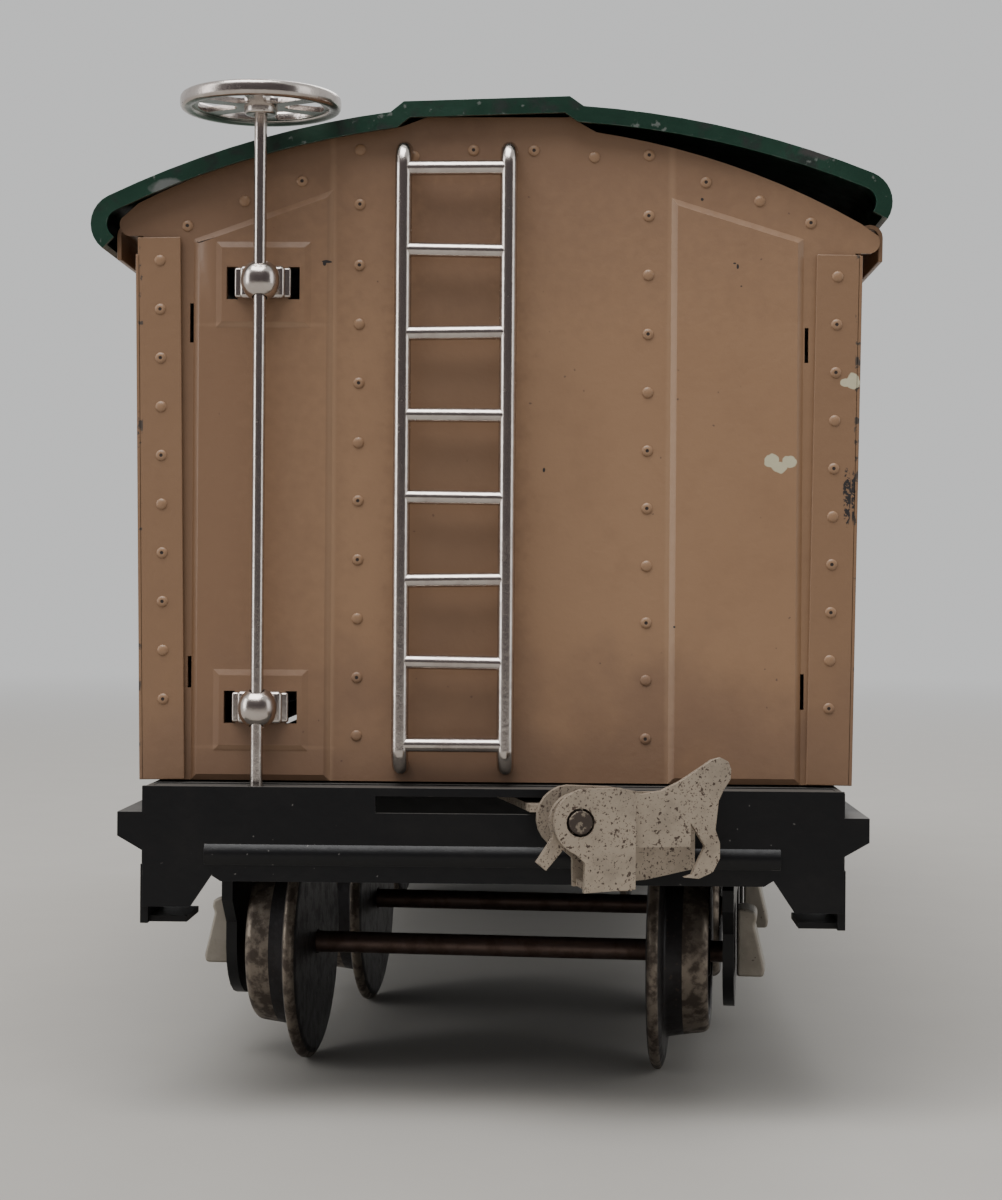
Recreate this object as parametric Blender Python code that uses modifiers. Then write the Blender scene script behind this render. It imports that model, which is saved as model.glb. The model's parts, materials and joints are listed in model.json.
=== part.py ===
"""Tinplate freight car for wide-gauge toy track: a pressed body on a folded underframe, with two
swivelling trucks, sliding doors, a brake staff and an automatic coupler at each end.

The car stands on the floor, z = 0, centred on the origin. Its length runs along Y, the front end
faces -Y and the right side faces +X. The rear end and the left side are the same pieces turned
half round about Z, so each is modelled once, in the frame of an empty that carries it.
All sizes below are in millimetres; MM turns them into metres where a mesh is made.
"""

import math

import bmesh
import bpy
from mathutils import Matrix, Vector

MM = 0.001
WELD = 1e-6
MERGE = 1e-5
SHEET = 0.6
GAP = 0.3
HALF_TURN = math.pi
SMOOTH_ANGLE = math.radians(35)

# Body
PANEL_OUTSIDE = 47.0
PANEL_FOOT = 43.3
PANEL_TOP = 112.9
BODY_END = 150.4
END_PANEL = (-149.5, -148.9)
END_HALF_WIDTH = 46.1
EAR, EAR_RADIUS = 50.3, 1.5
ARCH_RADIUS = 100.0
ARCH_CENTRE = 30.336
ARCH_HALF = (12.9, 47.8)
ARCH_SLOPES = (0.033, 0.0195)
LEAN = math.radians(0.8)
PLATEAU_HALF, PLATEAU_TOP = 9.5, 131.2
FLANGE = (41.0, 46.1)
FLANGE_TOPS = (115.1, 113.0)
DOORWAY = (29.0, 46.5, 110.0)
TRACK_END = 148.6
TRACK_BEND, TRACK_BEND_Z = 1.4, 115.6
TRACK_LIP = 112.4

# Roof
ROOF_SHEET = 0.7
ROOF_LIP = 2.1
ROOF_END = 152.0
ROOF_RADIUS, ROOF_CENTRE = 125.0, 7.45
ROOF_BOARD = ((0.0, 133.15), (10.9, 133.15))
ROOF_ARC_HALF = (12.7, 50.2)
EAVE_RADIUS = 4.1
EAVE_ENDS = (math.radians(-50), math.radians(-34))
EAVE_CUT_END = math.radians(-85)
ROOF_ROLL = math.radians(-1.8)
ROOF_ROLL_Z = 125.0
ROOF_SHIFT = -1.25

# Doors
DOOR_INSIDE, DOOR_OUTSIDE = 47.5, 48.3
DOOR_EDGES = (0.2, 33.0)
DOOR_FOOT, DOOR_TOP = 45.4, 113.6
HANDLE_Y, HANDLE_Z, HANDLE_RADIUS = 6.0, (74.0, 86.0), 0.6
HANDLE_REACH = 50.6
RAIL_END = 66.5

# Underframe
FRAME_SHEET = 0.8
DECK_HALF, DECK_END, DECK = 45.0, 158.1, (42.2, 43.0)
PLATFORM, PLATFORM_DROP = 150.8, 0.15
LOAD_FLOOR = ((-43.0, -85.0, 42.5), (43.0, 85.0, 43.2))
RIB = ((-20.0, -115.0, 35.6), (20.0, -114.2, 42.4))
BEAM_FRONT = -158.5
SILL_END = 157.7
SILL_PATH = ((45.25, 42.9), (45.25, 39.8), (48.3, 39.8), (48.3, 36.7), (45.25, 34.8), (45.25, 31.0))
BEAM_HALF = ((45.1, 43.15), (45.1, 39.8), (48.3, 39.8), (48.3, 36.7), (45.0, 34.8),
             (45.0, 27.6), (38.85, 27.6), (36.1, 31.7), (34.9, 30.95))
SLOT_HALF, SLOT = 15.0, (39.9, 42.1)
BEAD_HALF, BEAD_RADIUS, BEAD_Y, BEAD_Z = 37.0, 1.8, -157.3, 34.4
STEP_LEG = ((44.35, -158.0, 25.4), (45.35, -146.0, 33.0))
STEP_TREAD = ((39.5, -156.5, 25.4), (44.9, -147.0, 26.2))

# Ladder and brake staff, on the front end
LADDER_POSTS, POST_RADIUS = (-12.3, 1.5), 1.1
LADDER_ENDS = (45.4, 126.6)
LADDER_Y, WALL_Y = -153.0, -149.85
POST_BEND = 2.2
RUNG_RADIUS = 0.95
RUNGS = 8
RUNG_FIRST, RUNG_STEP = 48.4, 10.78
STAFF_X, STAFF_Y, STAFF_RADIUS = -31.0, -153.6, 0.8
STAFF_ENDS = (41.4, 132.0)
STAFF_HOLE = 1.1
CLIP_HEIGHT, CLIP_CENTRES = 4.6, (53.0, 109.1)
CLIP_SHEET, CLIP_RADIUS, CLIP_FOOT = 0.8, 1.75, 4.4
CLIP_FOOT_Y = -150.2
WHEEL_RIM_FOOT, WHEEL_RIM_TOP = 131.1, 133.1
WHEEL_RADIUS, WHEEL_RIM_INSIDE = 10.5, 8.9
WHEEL_SPOKES, SPOKE_HALF_ANGLE = 6, math.radians(9)
WHEEL_WINDOW = (3.3, 7.9)

# Trucks
TRUCK_Y = -92.5
TRUCK_TURN = math.radians(-5.5)
AXLE_Z, AXLE_Y = 16.9, 25.0
AXLE_RADIUS, AXLE_END = 1.55, 36.6
FLANGE_RADIUS = 16.9
SIDE_FRAME = (35.0, 36.6)
SADDLE_RADIUS = 7.7
BOLSTER_HALF, BOLSTER = 8.0, (36.2, 37.3)
AXLE_HOLE = 1.9
JOURNAL_HALF = 3.6
KINGPIN_RADIUS, KINGPIN_HOLE = 1.8, 2.1

# Couplers
DRAWBAR_Y = -120.0
DRAWBAR_HALF, DRAWBAR = 4.0, (40.4, 41.4)
DRAWBAR_PIN, DRAWBAR_HOLE = 1.2, 1.5
SWING = math.radians(12.6)
HEAD_Z = 40.1
FRONT_CHEEK = (-52.0, -51.0)
LATCH = (-50.6, -49.6)
REAR_CHEEK = (-45.8, -44.8)
CHEEK_HOLE, LATCH_PIN = 1.8, 1.5
CHEEK_DISC, LATCH_DISC = 4.15, 3.6
SPRING_RADIUS, SPRING_WIRE, SPRING_TURNS = 2.3, 0.35, 3.5


def cleared_scene():
    """Empties the scene and returns the collection that the car's pieces go in."""
    for old in list(bpy.data.objects):
        bpy.data.objects.remove(old)
    car = bpy.data.collections.new("freight_car")
    bpy.context.scene.collection.children.link(car)
    return car


def finish(name, colour, roughness, metallic):
    """One Principled material."""
    made = bpy.data.materials.new(name)
    made.use_nodes = True
    shader = made.node_tree.nodes["Principled BSDF"]
    shader.inputs["Base Color"].default_value = (*colour, 1.0)
    shader.inputs["Roughness"].default_value = roughness
    shader.inputs["Metallic"].default_value = metallic
    return made


CAR = cleared_scene()
BODY_ENAMEL = finish("body_enamel", (0.25, 0.15, 0.093), 0.38, 0.0)
ROOF_ENAMEL = finish("roof_enamel", (0.012, 0.045, 0.028), 0.3, 0.0)
FRAME_ENAMEL = finish("frame_enamel", (0.009, 0.009, 0.011), 0.3, 0.0)
NICKEL = finish("nickel_plate", (0.55, 0.5, 0.46), 0.28, 1.0)
WORN_NICKEL = finish("worn_nickel", (0.42, 0.38, 0.32), 0.5, 0.9)
WHEEL_METAL = finish("wheel_metal", (0.2, 0.18, 0.165), 0.45, 0.85)
DARK_STEEL = finish("dark_steel", (0.07, 0.06, 0.055), 0.45, 0.9)


# Shapes: each helper returns a closed mesh, in metres


def arc(centre, radius, start, end, steps):
    """Points along an arc, both ends included; angles in radians from the first axis."""
    turns = [start + (end - start) * i / steps for i in range(steps + 1)]
    return [(centre[0] + radius * math.cos(a), centre[1] + radius * math.sin(a)) for a in turns]


def mirrored(half):
    """A half outline at +X, listed from the middle line outwards, closed by its mirror image."""
    return list(half) + [(-x, z) for x, z in reversed(half)]


def offset(path, distance):
    """The path moved sideways, to the right of its direction, with mitred corners."""
    moved = []
    for i, (x, z) in enumerate(path):
        before = path[max(i - 1, 0)]
        after = path[min(i + 1, len(path) - 1)]
        normals = []
        for (x0, z0), (x1, z1) in ((before, (x, z)), ((x, z), after)):
            length = math.hypot(x1 - x0, z1 - z0)
            if length > 0:
                normals.append(((z1 - z0) / length, (x0 - x1) / length))
        nx = sum(n[0] for n in normals) / len(normals)
        nz = sum(n[1] for n in normals) / len(normals)
        scale = distance / (nx * nx + nz * nz)
        moved.append((x + nx * scale, z + nz * scale))
    return moved


def sheet_outline(path, near, far):
    """The closed outline of bent sheet: the strip between two offsets of a path."""
    return offset(path, near) + offset(path, far)[::-1]


def welded(mesh):
    """The mesh with its coinciding points made one and its faces pointing out."""
    work = bmesh.new()
    work.from_mesh(mesh)
    bmesh.ops.remove_doubles(work, verts=work.verts, dist=WELD)
    bmesh.ops.dissolve_degenerate(work, edges=work.edges, dist=WELD)
    bmesh.ops.recalc_face_normals(work, faces=work.faces)
    work.to_mesh(mesh)
    work.free()
    return mesh


def evaluated_mesh(source):
    """The welded, outward-facing mesh of an object as the viewport shows it. The object goes."""
    bpy.context.view_layer.update()
    graph = bpy.context.evaluated_depsgraph_get()
    mesh = bpy.data.meshes.new_from_object(source.evaluated_get(graph))
    bpy.data.objects.remove(source)
    return welded(mesh)


def curve_object(paths, cyclic, dimensions):
    curve = bpy.data.curves.new("outline", "CURVE")
    curve.dimensions = dimensions
    for path in paths:
        spline = curve.splines.new("POLY")
        spline.points.add(len(path) - 1)
        for point, place in zip(spline.points, path):
            point.co = (*(value * MM for value in (*place, 0.0)[:3]), 1.0)
        spline.use_cyclic_u = cyclic
    made = bpy.data.objects.new("outline", curve)
    CAR.objects.link(made)
    return made


AXIS_FRAMES = {
    "X": Matrix(((0, 0, 1, 0), (1, 0, 0, 0), (0, 1, 0, 0), (0, 0, 0, 1))),
    "Y": Matrix(((1, 0, 0, 0), (0, 0, -1, 0), (0, 1, 0, 0), (0, 0, 0, 1))),
    "Z": Matrix.Identity(4),
}
AXIS_STEPS = {"X": (1, 0, 0), "Y": (0, 1, 0), "Z": (0, 0, 1)}


def extruded(outlines, axis, low, high):
    """Flat outlines, the first with the rest as holes, extruded along an axis from low to high.

    The outlines' two coordinates are the car's other two axes, in X, Y, Z order.
    """
    made = curve_object(outlines, True, "2D")
    made.data.fill_mode = "BOTH"
    made.data.extrude = (high - low) / 2 * MM
    mesh = evaluated_mesh(made)
    middle = [(low + high) / 2 * MM * step for step in AXIS_STEPS[axis]]
    mesh.transform(Matrix.Translation(middle) @ AXIS_FRAMES[axis])
    return mesh


def tube(path, radius):
    """A round bar along a path, with flat ends."""
    made = curve_object([path], False, "3D")
    made.data.bevel_depth = radius * MM
    made.data.bevel_resolution = 2
    made.data.use_fill_caps = True
    return evaluated_mesh(made)


def turned(profile, steps, ring=False):
    """A turned solid about Z. A ring's profile is closed; any other starts and ends on the axis."""
    points = [(r * MM, 0.0, z * MM) for r, z in profile]
    edges = [(i, i + 1) for i in range(len(points) - 1)]
    if ring:
        edges.append((len(points) - 1, 0))
    mesh = bpy.data.meshes.new("profile")
    mesh.from_pydata(points, edges, [])
    made = bpy.data.objects.new("profile", mesh)
    CAR.objects.link(made)
    screw = made.modifiers.new("Screw", "SCREW")
    screw.steps = steps
    screw.render_steps = steps
    screw.use_merge_vertices = True
    screw.merge_threshold = MERGE
    return evaluated_mesh(made)


def rod(radius, low, high, steps=16):
    """A plain cylinder about Z."""
    return turned([(0, high), (radius, high), (radius, low), (0, low)], steps)


def box(low, high):
    work = bmesh.new()
    bmesh.ops.create_cube(work, size=1.0)
    middle = [(a + b) / 2 * MM for a, b in zip(low, high)]
    size = [abs(b - a) * MM for a, b in zip(low, high)]
    matrix = Matrix.Translation(middle) @ Matrix.Diagonal((*size, 1.0))
    bmesh.ops.transform(work, matrix=matrix, verts=work.verts)
    mesh = bpy.data.meshes.new("box")
    work.to_mesh(mesh)
    work.free()
    return mesh


def moved(mesh, place=(0, 0, 0), turn=None):
    """The mesh turned, then moved; a turn is an angle in radians and an axis."""
    matrix = Matrix.Translation([value * MM for value in place])
    if turn:
        matrix = matrix @ Matrix.Rotation(turn[0], 4, turn[1])
    mesh.transform(matrix)
    return mesh


def combined(mesh, operation, others):
    """The mesh after Booleans with the others, in their order."""
    helpers = []
    for each in (mesh, *others):
        helper = bpy.data.objects.new("helper", each)
        CAR.objects.link(helper)
        helpers.append(helper)
    for helper in helpers[1:]:
        boolean = helpers[0].modifiers.new("Boolean", "BOOLEAN")
        boolean.operation = operation
        boolean.solver = "EXACT"
        boolean.object = helper
    bpy.context.view_layer.update()
    graph = bpy.context.evaluated_depsgraph_get()
    result = bpy.data.meshes.new_from_object(helpers[0].evaluated_get(graph))
    for helper in helpers:
        bpy.data.objects.remove(helper)
    return welded(result)


def joined(mesh, *others):
    return combined(mesh, "UNION", others)


def cut(mesh, *cutters):
    return combined(mesh, "DIFFERENCE", cutters)


def carrier(name, parent=None, place=(0, 0, 0), turn=0.0):
    """An empty on a joint's axis, or one that turns a group half round; turn is about Z."""
    made = bpy.data.objects.new(name, None)
    CAR.objects.link(made)
    made.parent = parent
    made.location = [value * MM for value in place]
    made.rotation_euler = (0.0, 0.0, turn)
    return made


def piece(name, mesh, material, parent=None):
    """Names a mesh as one piece of the car, in its parent's frame."""
    made = bpy.data.objects.new(name, mesh)
    CAR.objects.link(made)
    made.parent = parent
    mesh.name = name
    mesh.materials.clear()
    mesh.materials.append(material)
    mesh.shade_smooth()
    mesh.set_sharp_from_angle(angle=SMOOTH_ANGLE)
    return made


# Underframe


def underframe():
    """One folded sheet: deck, side sills, end beams with their slots and beads, and corner steps.

    The deck is pressed up between the trucks, where a load stands, and down a little outside the
    end walls. A rib closes the coupler's pocket behind each slot.
    """
    deck = extruded([[(-DECK_HALF, -DECK_END), (DECK_HALF, -DECK_END), (DECK_HALF, DECK_END),
                      (-DECK_HALF, DECK_END)]], "Z", *DECK)
    drop = DECK[1] - PLATFORM_DROP
    deck = cut(deck, *[box((-DECK_HALF - 1, low_y, drop), (DECK_HALF + 1, low_y + 10, DECK[1] + 1))
                       for low_y in (-PLATFORM - 10, PLATFORM)])
    holes = []
    parts = [box(*LOAD_FLOOR)]
    for turn in (0.0, HALF_TURN):
        beam = extruded([mirrored(BEAM_HALF)], "Y", BEAM_FRONT, BEAM_FRONT + FRAME_SHEET)
        beam = cut(beam, box((-SLOT_HALF, BEAM_FRONT - 1, SLOT[0]),
                             (SLOT_HALF, BEAM_FRONT + 2, SLOT[1])))
        bead = moved(rod(BEAD_RADIUS, -BEAD_HALF, BEAD_HALF), (0, BEAD_Y, BEAD_Z),
                     (HALF_TURN / 2, "Y"))
        sill = extruded([sheet_outline(SILL_PATH, 0, FRAME_SHEET)], "Y", -SILL_END, SILL_END)
        end = [beam, bead, sill, box(*RIB)]
        for low, high in (STEP_LEG, STEP_TREAD):
            end.append(box(low, high))
            end.append(box((-high[0], low[1], low[2]), (-low[0], high[1], high[2])))
        parts += [moved(each, turn=(turn, "Z")) for each in end]
        cutters = [(KINGPIN_HOLE, 0, TRUCK_Y), (DRAWBAR_HOLE, 0, DRAWBAR_Y),
                   (STAFF_HOLE, STAFF_X, STAFF_Y)]
        for radius, x, y in cutters:
            hole = moved(rod(radius, DECK[0] - 1, DECK[1] + 1), (x, y, 0))
            holes.append(moved(hole, turn=(turn, "Z")))
    piece("underframe", cut(joined(deck, *parts), *holes), FRAME_ENAMEL)


# Body


def leaned(x, z):
    """Where a side's own x is at a height, once the side leans out."""
    return x + (z - PANEL_FOOT) * math.tan(LEAN)


def end_panel(name, parent):
    """The arched end wall, with an ear at each eave that closes the door track's end.

    The pressing is a little out of square: its left shoulder stands higher than its right one.
    """
    def half(slope, ear_foot):
        steps = 10
        arch_x = [ARCH_HALF[0] + (ARCH_HALF[1] - ARCH_HALF[0]) * i / steps for i in range(steps + 1)]
        points = [(PLATEAU_HALF, PLATEAU_TOP)]
        points += [(x, ARCH_CENTRE + math.sqrt(ARCH_RADIUS ** 2 - x ** 2) + slope * x) for x in arch_x]
        points += arc((EAR - EAR_RADIUS, ear_foot + EAR_RADIUS), EAR_RADIUS, math.radians(35),
                      math.radians(-75), 6)
        edge = leaned(END_HALF_WIDTH, ear_foot)
        return points + [(edge, ear_foot), (END_HALF_WIDTH, PANEL_FOOT)]

    left = half(ARCH_SLOPES[0], FLANGE_TOPS[0] + GAP)
    right = half(-ARCH_SLOPES[1], FLANGE_TOPS[1] + GAP)
    outline = right + [(-x, z) for x, z in reversed(left)]
    piece(name, extruded([outline], "Y", *END_PANEL), BODY_ENAMEL, parent)


def side_panel(name, parent):
    """A pressed side: a doorway, and the eave rolled into a track that the doors hang in."""
    inside = PANEL_OUTSIDE - SHEET
    half, low, high = DOORWAY
    wall = [(-BODY_END, PANEL_FOOT), (BODY_END, PANEL_FOOT), (BODY_END, PANEL_TOP),
            (-BODY_END, PANEL_TOP)]
    doorway = [(-half, low), (half, low), (half, high), (-half, high)]
    panel = extruded([wall, doorway], "X", inside, PANEL_OUTSIDE)
    middle = PANEL_OUTSIDE - SHEET / 2
    path = [(middle, PANEL_TOP - 1)]
    path += arc((middle + TRACK_BEND, TRACK_BEND_Z), TRACK_BEND, HALF_TURN, 0, 8)
    path += [(middle + 2 * TRACK_BEND, TRACK_LIP)]
    track = extruded([sheet_outline(path, -SHEET / 2, SHEET / 2)], "Y", -TRACK_END, TRACK_END)
    piece(name, joined(panel, track), BODY_ENAMEL, parent)


def corner_flange(name, parent, low_y, top):
    """The edge of a side that is folded round the corner and laps the end wall."""
    strip = box((FLANGE[0], low_y, PANEL_FOOT), (FLANGE[1], low_y + SHEET, top))
    piece(name, strip, BODY_ENAMEL, parent)


def roof():
    """One pressed sheet with a raised running board, rolled eaves and short lips at its ends.

    It sits a little askew, its right eave raised.
    """
    def half_path(eave_end, side):
        half = list(ROOF_BOARD)
        first = math.acos(ROOF_ARC_HALF[0] / ROOF_RADIUS)
        last = math.acos(ROOF_ARC_HALF[1] / ROOF_RADIUS)
        half += arc((0, ROOF_CENTRE), ROOF_RADIUS, first, last, 9)
        reach = ROOF_RADIUS - EAVE_RADIUS
        centre = (reach * math.cos(last), ROOF_CENTRE + reach * math.sin(last))
        half += arc(centre, EAVE_RADIUS, last, eave_end, 9)[1:]
        return [(side * x, z) for x, z in half[1:]]

    def path(left_end, right_end):
        return half_path(left_end, -1)[::-1] + half_path(right_end, 1)

    solid = extruded([sheet_outline(path(*EAVE_ENDS), 0, ROOF_LIP)], "Y", -ROOF_END, ROOF_END)
    hollow = extruded([sheet_outline(path(EAVE_CUT_END, EAVE_CUT_END), ROOF_SHEET, ROOF_LIP + 1)],
                      "Y", -ROOF_END + ROOF_SHEET, ROOF_END - ROOF_SHEET)
    shell = cut(solid, hollow)
    moved(shell, (0, 0, -ROOF_ROLL_Z))
    moved(shell, (ROOF_SHIFT, 0, ROOF_ROLL_Z), (ROOF_ROLL, "Y"))
    piece("roof", shell, ROOF_ENAMEL)


def lower_rail(name, parent):
    """The folded rail that the doors' feet slide in."""
    path = [(PANEL_OUTSIDE + GAP, 44.5), (49.2, 44.5), (49.2, 47.4)]
    rail = extruded([sheet_outline(path, -SHEET / 2, SHEET / 2)], "Y", -RAIL_END, RAIL_END)
    piece(name, rail, BODY_ENAMEL, parent)


def door(name, parent, side):
    """One sliding leaf with its pull; side is -1 or 1, the way it opens along Y."""
    near, far = sorted(side * edge for edge in DOOR_EDGES)
    leaf = box((DOOR_INSIDE, near, DOOR_FOOT), (DOOR_OUTSIDE, far, DOOR_TOP))
    y = side * HANDLE_Y
    foot = DOOR_OUTSIDE - 0.2
    low, high = HANDLE_Z
    pull = tube([(foot, y, low), (HANDLE_REACH, y, low + 1.2), (HANDLE_REACH, y, high - 1.2),
                 (foot, y, high)], HANDLE_RADIUS)
    piece(name, joined(leaf, pull), BODY_ENAMEL, parent)


# Ladder and brake staff


def ladder(name, parent):
    """Two posts with their ends bent back to the wall, and eight rungs."""
    posts = []
    low, high = LADDER_ENDS
    for x in LADDER_POSTS:
        posts.append(tube([(x, WALL_Y, low), (x, LADDER_Y + POST_BEND * 0.4, low),
                           (x, LADDER_Y, low + POST_BEND), (x, LADDER_Y, high - POST_BEND),
                           (x, LADDER_Y + POST_BEND * 0.4, high), (x, WALL_Y, high)], POST_RADIUS))
    rungs = []
    for i in range(RUNGS):
        z = RUNG_FIRST + RUNG_STEP * i
        rungs.append(tube([(LADDER_POSTS[0], LADDER_Y, z), (LADDER_POSTS[1], LADDER_Y, z)],
                          RUNG_RADIUS))
    piece(name, joined(*posts, *rungs), NICKEL, parent)


def brake_staff(end, parent):
    """The upright rod, the spoked wheel on its top and the two clips that hold it to the wall."""
    staff = carrier(end + "_brake_axis", parent, (STAFF_X, STAFF_Y, 0))
    piece(end + "_brake_rod", rod(STAFF_RADIUS, *STAFF_ENDS, 12), NICKEL, staff)
    foot, top = WHEEL_RIM_FOOT, WHEEL_RIM_TOP
    web = (foot + 0.5, foot + 1.2)
    bore = STAFF_RADIUS + 0.2
    profile = [(0, top + 0.2), (1.6, top), (2.2, top - 0.5), (2.2, web[1]), (WHEEL_RIM_INSIDE, web[1]),
               (WHEEL_RIM_INSIDE, top), (WHEEL_RADIUS, top), (WHEEL_RADIUS, foot),
               (WHEEL_RIM_INSIDE, foot), (WHEEL_RIM_INSIDE, web[0]), (2.2, web[0]),
               (2.2, foot - 0.6), (bore, foot - 0.6), (bore, foot + 1.3), (0, foot + 1.3)]
    windows = []
    inner, outer = WHEEL_WINDOW
    half = math.pi / WHEEL_SPOKES - SPOKE_HALF_ANGLE
    for i in range(WHEEL_SPOKES):
        at = 2 * math.pi * i / WHEEL_SPOKES
        outline = arc((0, 0), outer, at - half, at + half, 5)
        outline += arc((0, 0), inner, at + half * 0.7, at - half * 0.7, 3)
        windows.append(extruded([outline], "Z", web[0] - 1, web[1] + 1))
    wheel = cut(turned(profile, 24), *windows)
    piece(end + "_brake_wheel", wheel, NICKEL, staff)
    for label, centre in zip(("lower", "upper"), CLIP_CENTRES):
        bulge = STAFF_Y - CLIP_FOOT_Y
        path = [(-CLIP_FOOT, 0), (-CLIP_RADIUS, 0)]
        path += arc((0, bulge), CLIP_RADIUS, -HALF_TURN, 0, 8)
        path += [(CLIP_RADIUS, 0), (CLIP_FOOT, 0)]
        strap = extruded([sheet_outline(path, -CLIP_SHEET / 2, CLIP_SHEET / 2)], "Z",
                         centre - CLIP_HEIGHT / 2, centre + CLIP_HEIGHT / 2)
        piece(f"{end}_{label}_rod_clip", moved(strap, (STAFF_X, CLIP_FOOT_Y, 0)), NICKEL, parent)


# Trucks


def side_frame():
    """One pressed side frame, arched over the axle holes, with two windows."""
    def half(sign):
        saddle = arc((AXLE_Y, AXLE_Z), SADDLE_RADIUS, 0, math.radians(-150), 9)
        points = [(9, 37.5), (11, 33), (14, 29.5), (33, 29.5), (35.5, 27), (35.5, 24),
                  (AXLE_Y + SADDLE_RADIUS, 20.5)] + saddle + [(17, 12)]
        return [(sign * y, z) for y, z in points]

    def window(sign):
        points = [(4, 15.4), (15.5, 15.4), (17, 17.5), (17.5, 21.5), (15.5, 24.3), (4, 24.3)]
        return [(sign * y, z) for y, z in points]

    outline = half(1) + half(-1)[::-1]
    return [outline, window(1), window(-1)]


def journal_box():
    """The cast cover of one axle end, seen from the track's end as a sloping wedge."""
    profile = [(36.9, 13.9), (40.7, 13.9), (40.9, 14.9), (39.4, 21.3), (39.8, 22.1), (39.6, 23.1),
               (38.4, 23.6), (36.9, 23.6)]
    return extruded([profile], "Y", -JOURNAL_HALF, JOURNAL_HALF)


def track_wheel():
    """A flanged wheel about Z, its flange low and its hub high, to be turned on to X."""
    profile = [(1.7, 24.6), (15.9, 24.6), (FLANGE_RADIUS, 25.2), (FLANGE_RADIUS, 26.2), (12.1, 26.7),
               (11.5, 32.4), (10.8, 33.1), (9.3, 33.1), (8.2, 30.3), (4.0, 30.3), (3.4, 33.1),
               (1.7, 33.1)]
    return turned(profile, 24, ring=True)


def truck(end, parent, facing):
    """A swivelling truck; facing is 1 where the group's +X is the car's right, else -1."""
    axis = carrier(end + "_truck_axis", parent, (0, TRUCK_Y, 0), TRUCK_TURN)
    frames = [extruded(side_frame(), "X", *sorted((sign * SIDE_FRAME[0], sign * SIDE_FRAME[1])))
              for sign in (1, -1)]
    bolster = box((-SIDE_FRAME[0] - 0.6, -BOLSTER_HALF, BOLSTER[0]),
                  (SIDE_FRAME[0] + 0.6, BOLSTER_HALF, BOLSTER[1]))
    holes = [rod(KINGPIN_HOLE, BOLSTER[0] - 1, BOLSTER[1] + 1)]
    for y in (-AXLE_Y, AXLE_Y):
        holes.append(moved(rod(AXLE_HOLE, -40, 40), (0, y, AXLE_Z), (HALF_TURN / 2, "Y")))
    frame = cut(joined(frames[0], frames[1], bolster), *holes)
    piece(end + "_truck_frame", frame, FRAME_ENAMEL, axis)
    pin = [(0, 44.2), (2.2, 44.2), (3.0, 43.6), (3.0, 43.3), (KINGPIN_RADIUS, 43.3),
           (KINGPIN_RADIUS, 41.9), (4.2, 41.9), (4.2, 37.7), (KINGPIN_RADIUS, 37.7),
           (KINGPIN_RADIUS, 35.8), (3.4, 35.8), (3.4, 34.9), (0, 34.9)]
    piece(end + "_kingpin", turned(pin, 16), DARK_STEEL, axis)
    for place, y in (("outer", -AXLE_Y), ("inner", AXLE_Y)):
        wheelset = carrier(f"{end}_{place}_axle_axis", axis, (0, y, AXLE_Z))
        axle = moved(rod(AXLE_RADIUS, -AXLE_END, AXLE_END), turn=(HALF_TURN / 2, "Y"))
        piece(f"{end}_{place}_axle", axle, DARK_STEEL, wheelset)
        for sign in (1, -1):
            side = "right" if sign * facing > 0 else "left"
            wheel = moved(track_wheel(), turn=(sign * HALF_TURN / 2, "Y"))
            piece(f"{end}_{place}_{side}_wheel", wheel, WHEEL_METAL, wheelset)
            cover = journal_box()
            if sign < 0:
                moved(cover, turn=(HALF_TURN, "Z"))
            piece(f"{end}_{place}_{side}_journal_box", moved(cover, (0, y, 0)), WORN_NICKEL, axis)


# Couplers


def cheek_disc(centre_x, radius, start, end, steps=12):
    return arc((centre_x, 0), radius, math.radians(start), math.radians(end), steps)


def drawbar():
    """The drawbar: an eye on the pivot, a flat bar, and a head bent into two cheeks and a floor."""
    eye = arc((0, 0), DRAWBAR_HALF, 0, HALF_TURN, 8)
    bar = extruded([eye + [(-DRAWBAR_HALF, -40.5), (2.9, -42.5), (2.9, REAR_CHEEK[0] + 0.5),
                           (8.5, REAR_CHEEK[0] + 0.5), (8.5, -42.5), (DRAWBAR_HALF, -40.5)]],
                   "Z", *DRAWBAR)
    front = cheek_disc(0.86, CHEEK_DISC, -110, -270)
    front += [(5.2, 4.2), (6.5, 3.3), (7.0, 2.0), (7.0, -8.3), (0.5, -8.7), (0.6, -5.0)]
    rear = cheek_disc(0, CHEEK_DISC, -100, -280)
    rear += [(5.0, 3.9), (9.0, 3.2), (16.3, 3.2), (16.3, -6.6), (9.9, -7.9), (0.5, -8.6), (0.4, -5.0)]
    cheeks = [extruded([[(x, z + HEAD_Z) for x, z in outline]], "Y", *place)
              for outline, place in ((front, FRONT_CHEEK), (rear, REAR_CHEEK))]
    floor = box((0.9, FRONT_CHEEK[0] + 0.2, HEAD_Z - 8.5), (6.6, REAR_CHEEK[1] - 0.2, HEAD_Z - 7.6))
    pin_hole = moved(rod(CHEEK_HOLE, 40, 56), (0, 0, HEAD_Z), (HALF_TURN / 2, "X"))
    pivot_hole = rod(DRAWBAR_HOLE, DRAWBAR[0] - 1, DRAWBAR[1] + 1)
    return cut(joined(bar, *cheeks, floor), pin_hole, pivot_hole)


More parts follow.
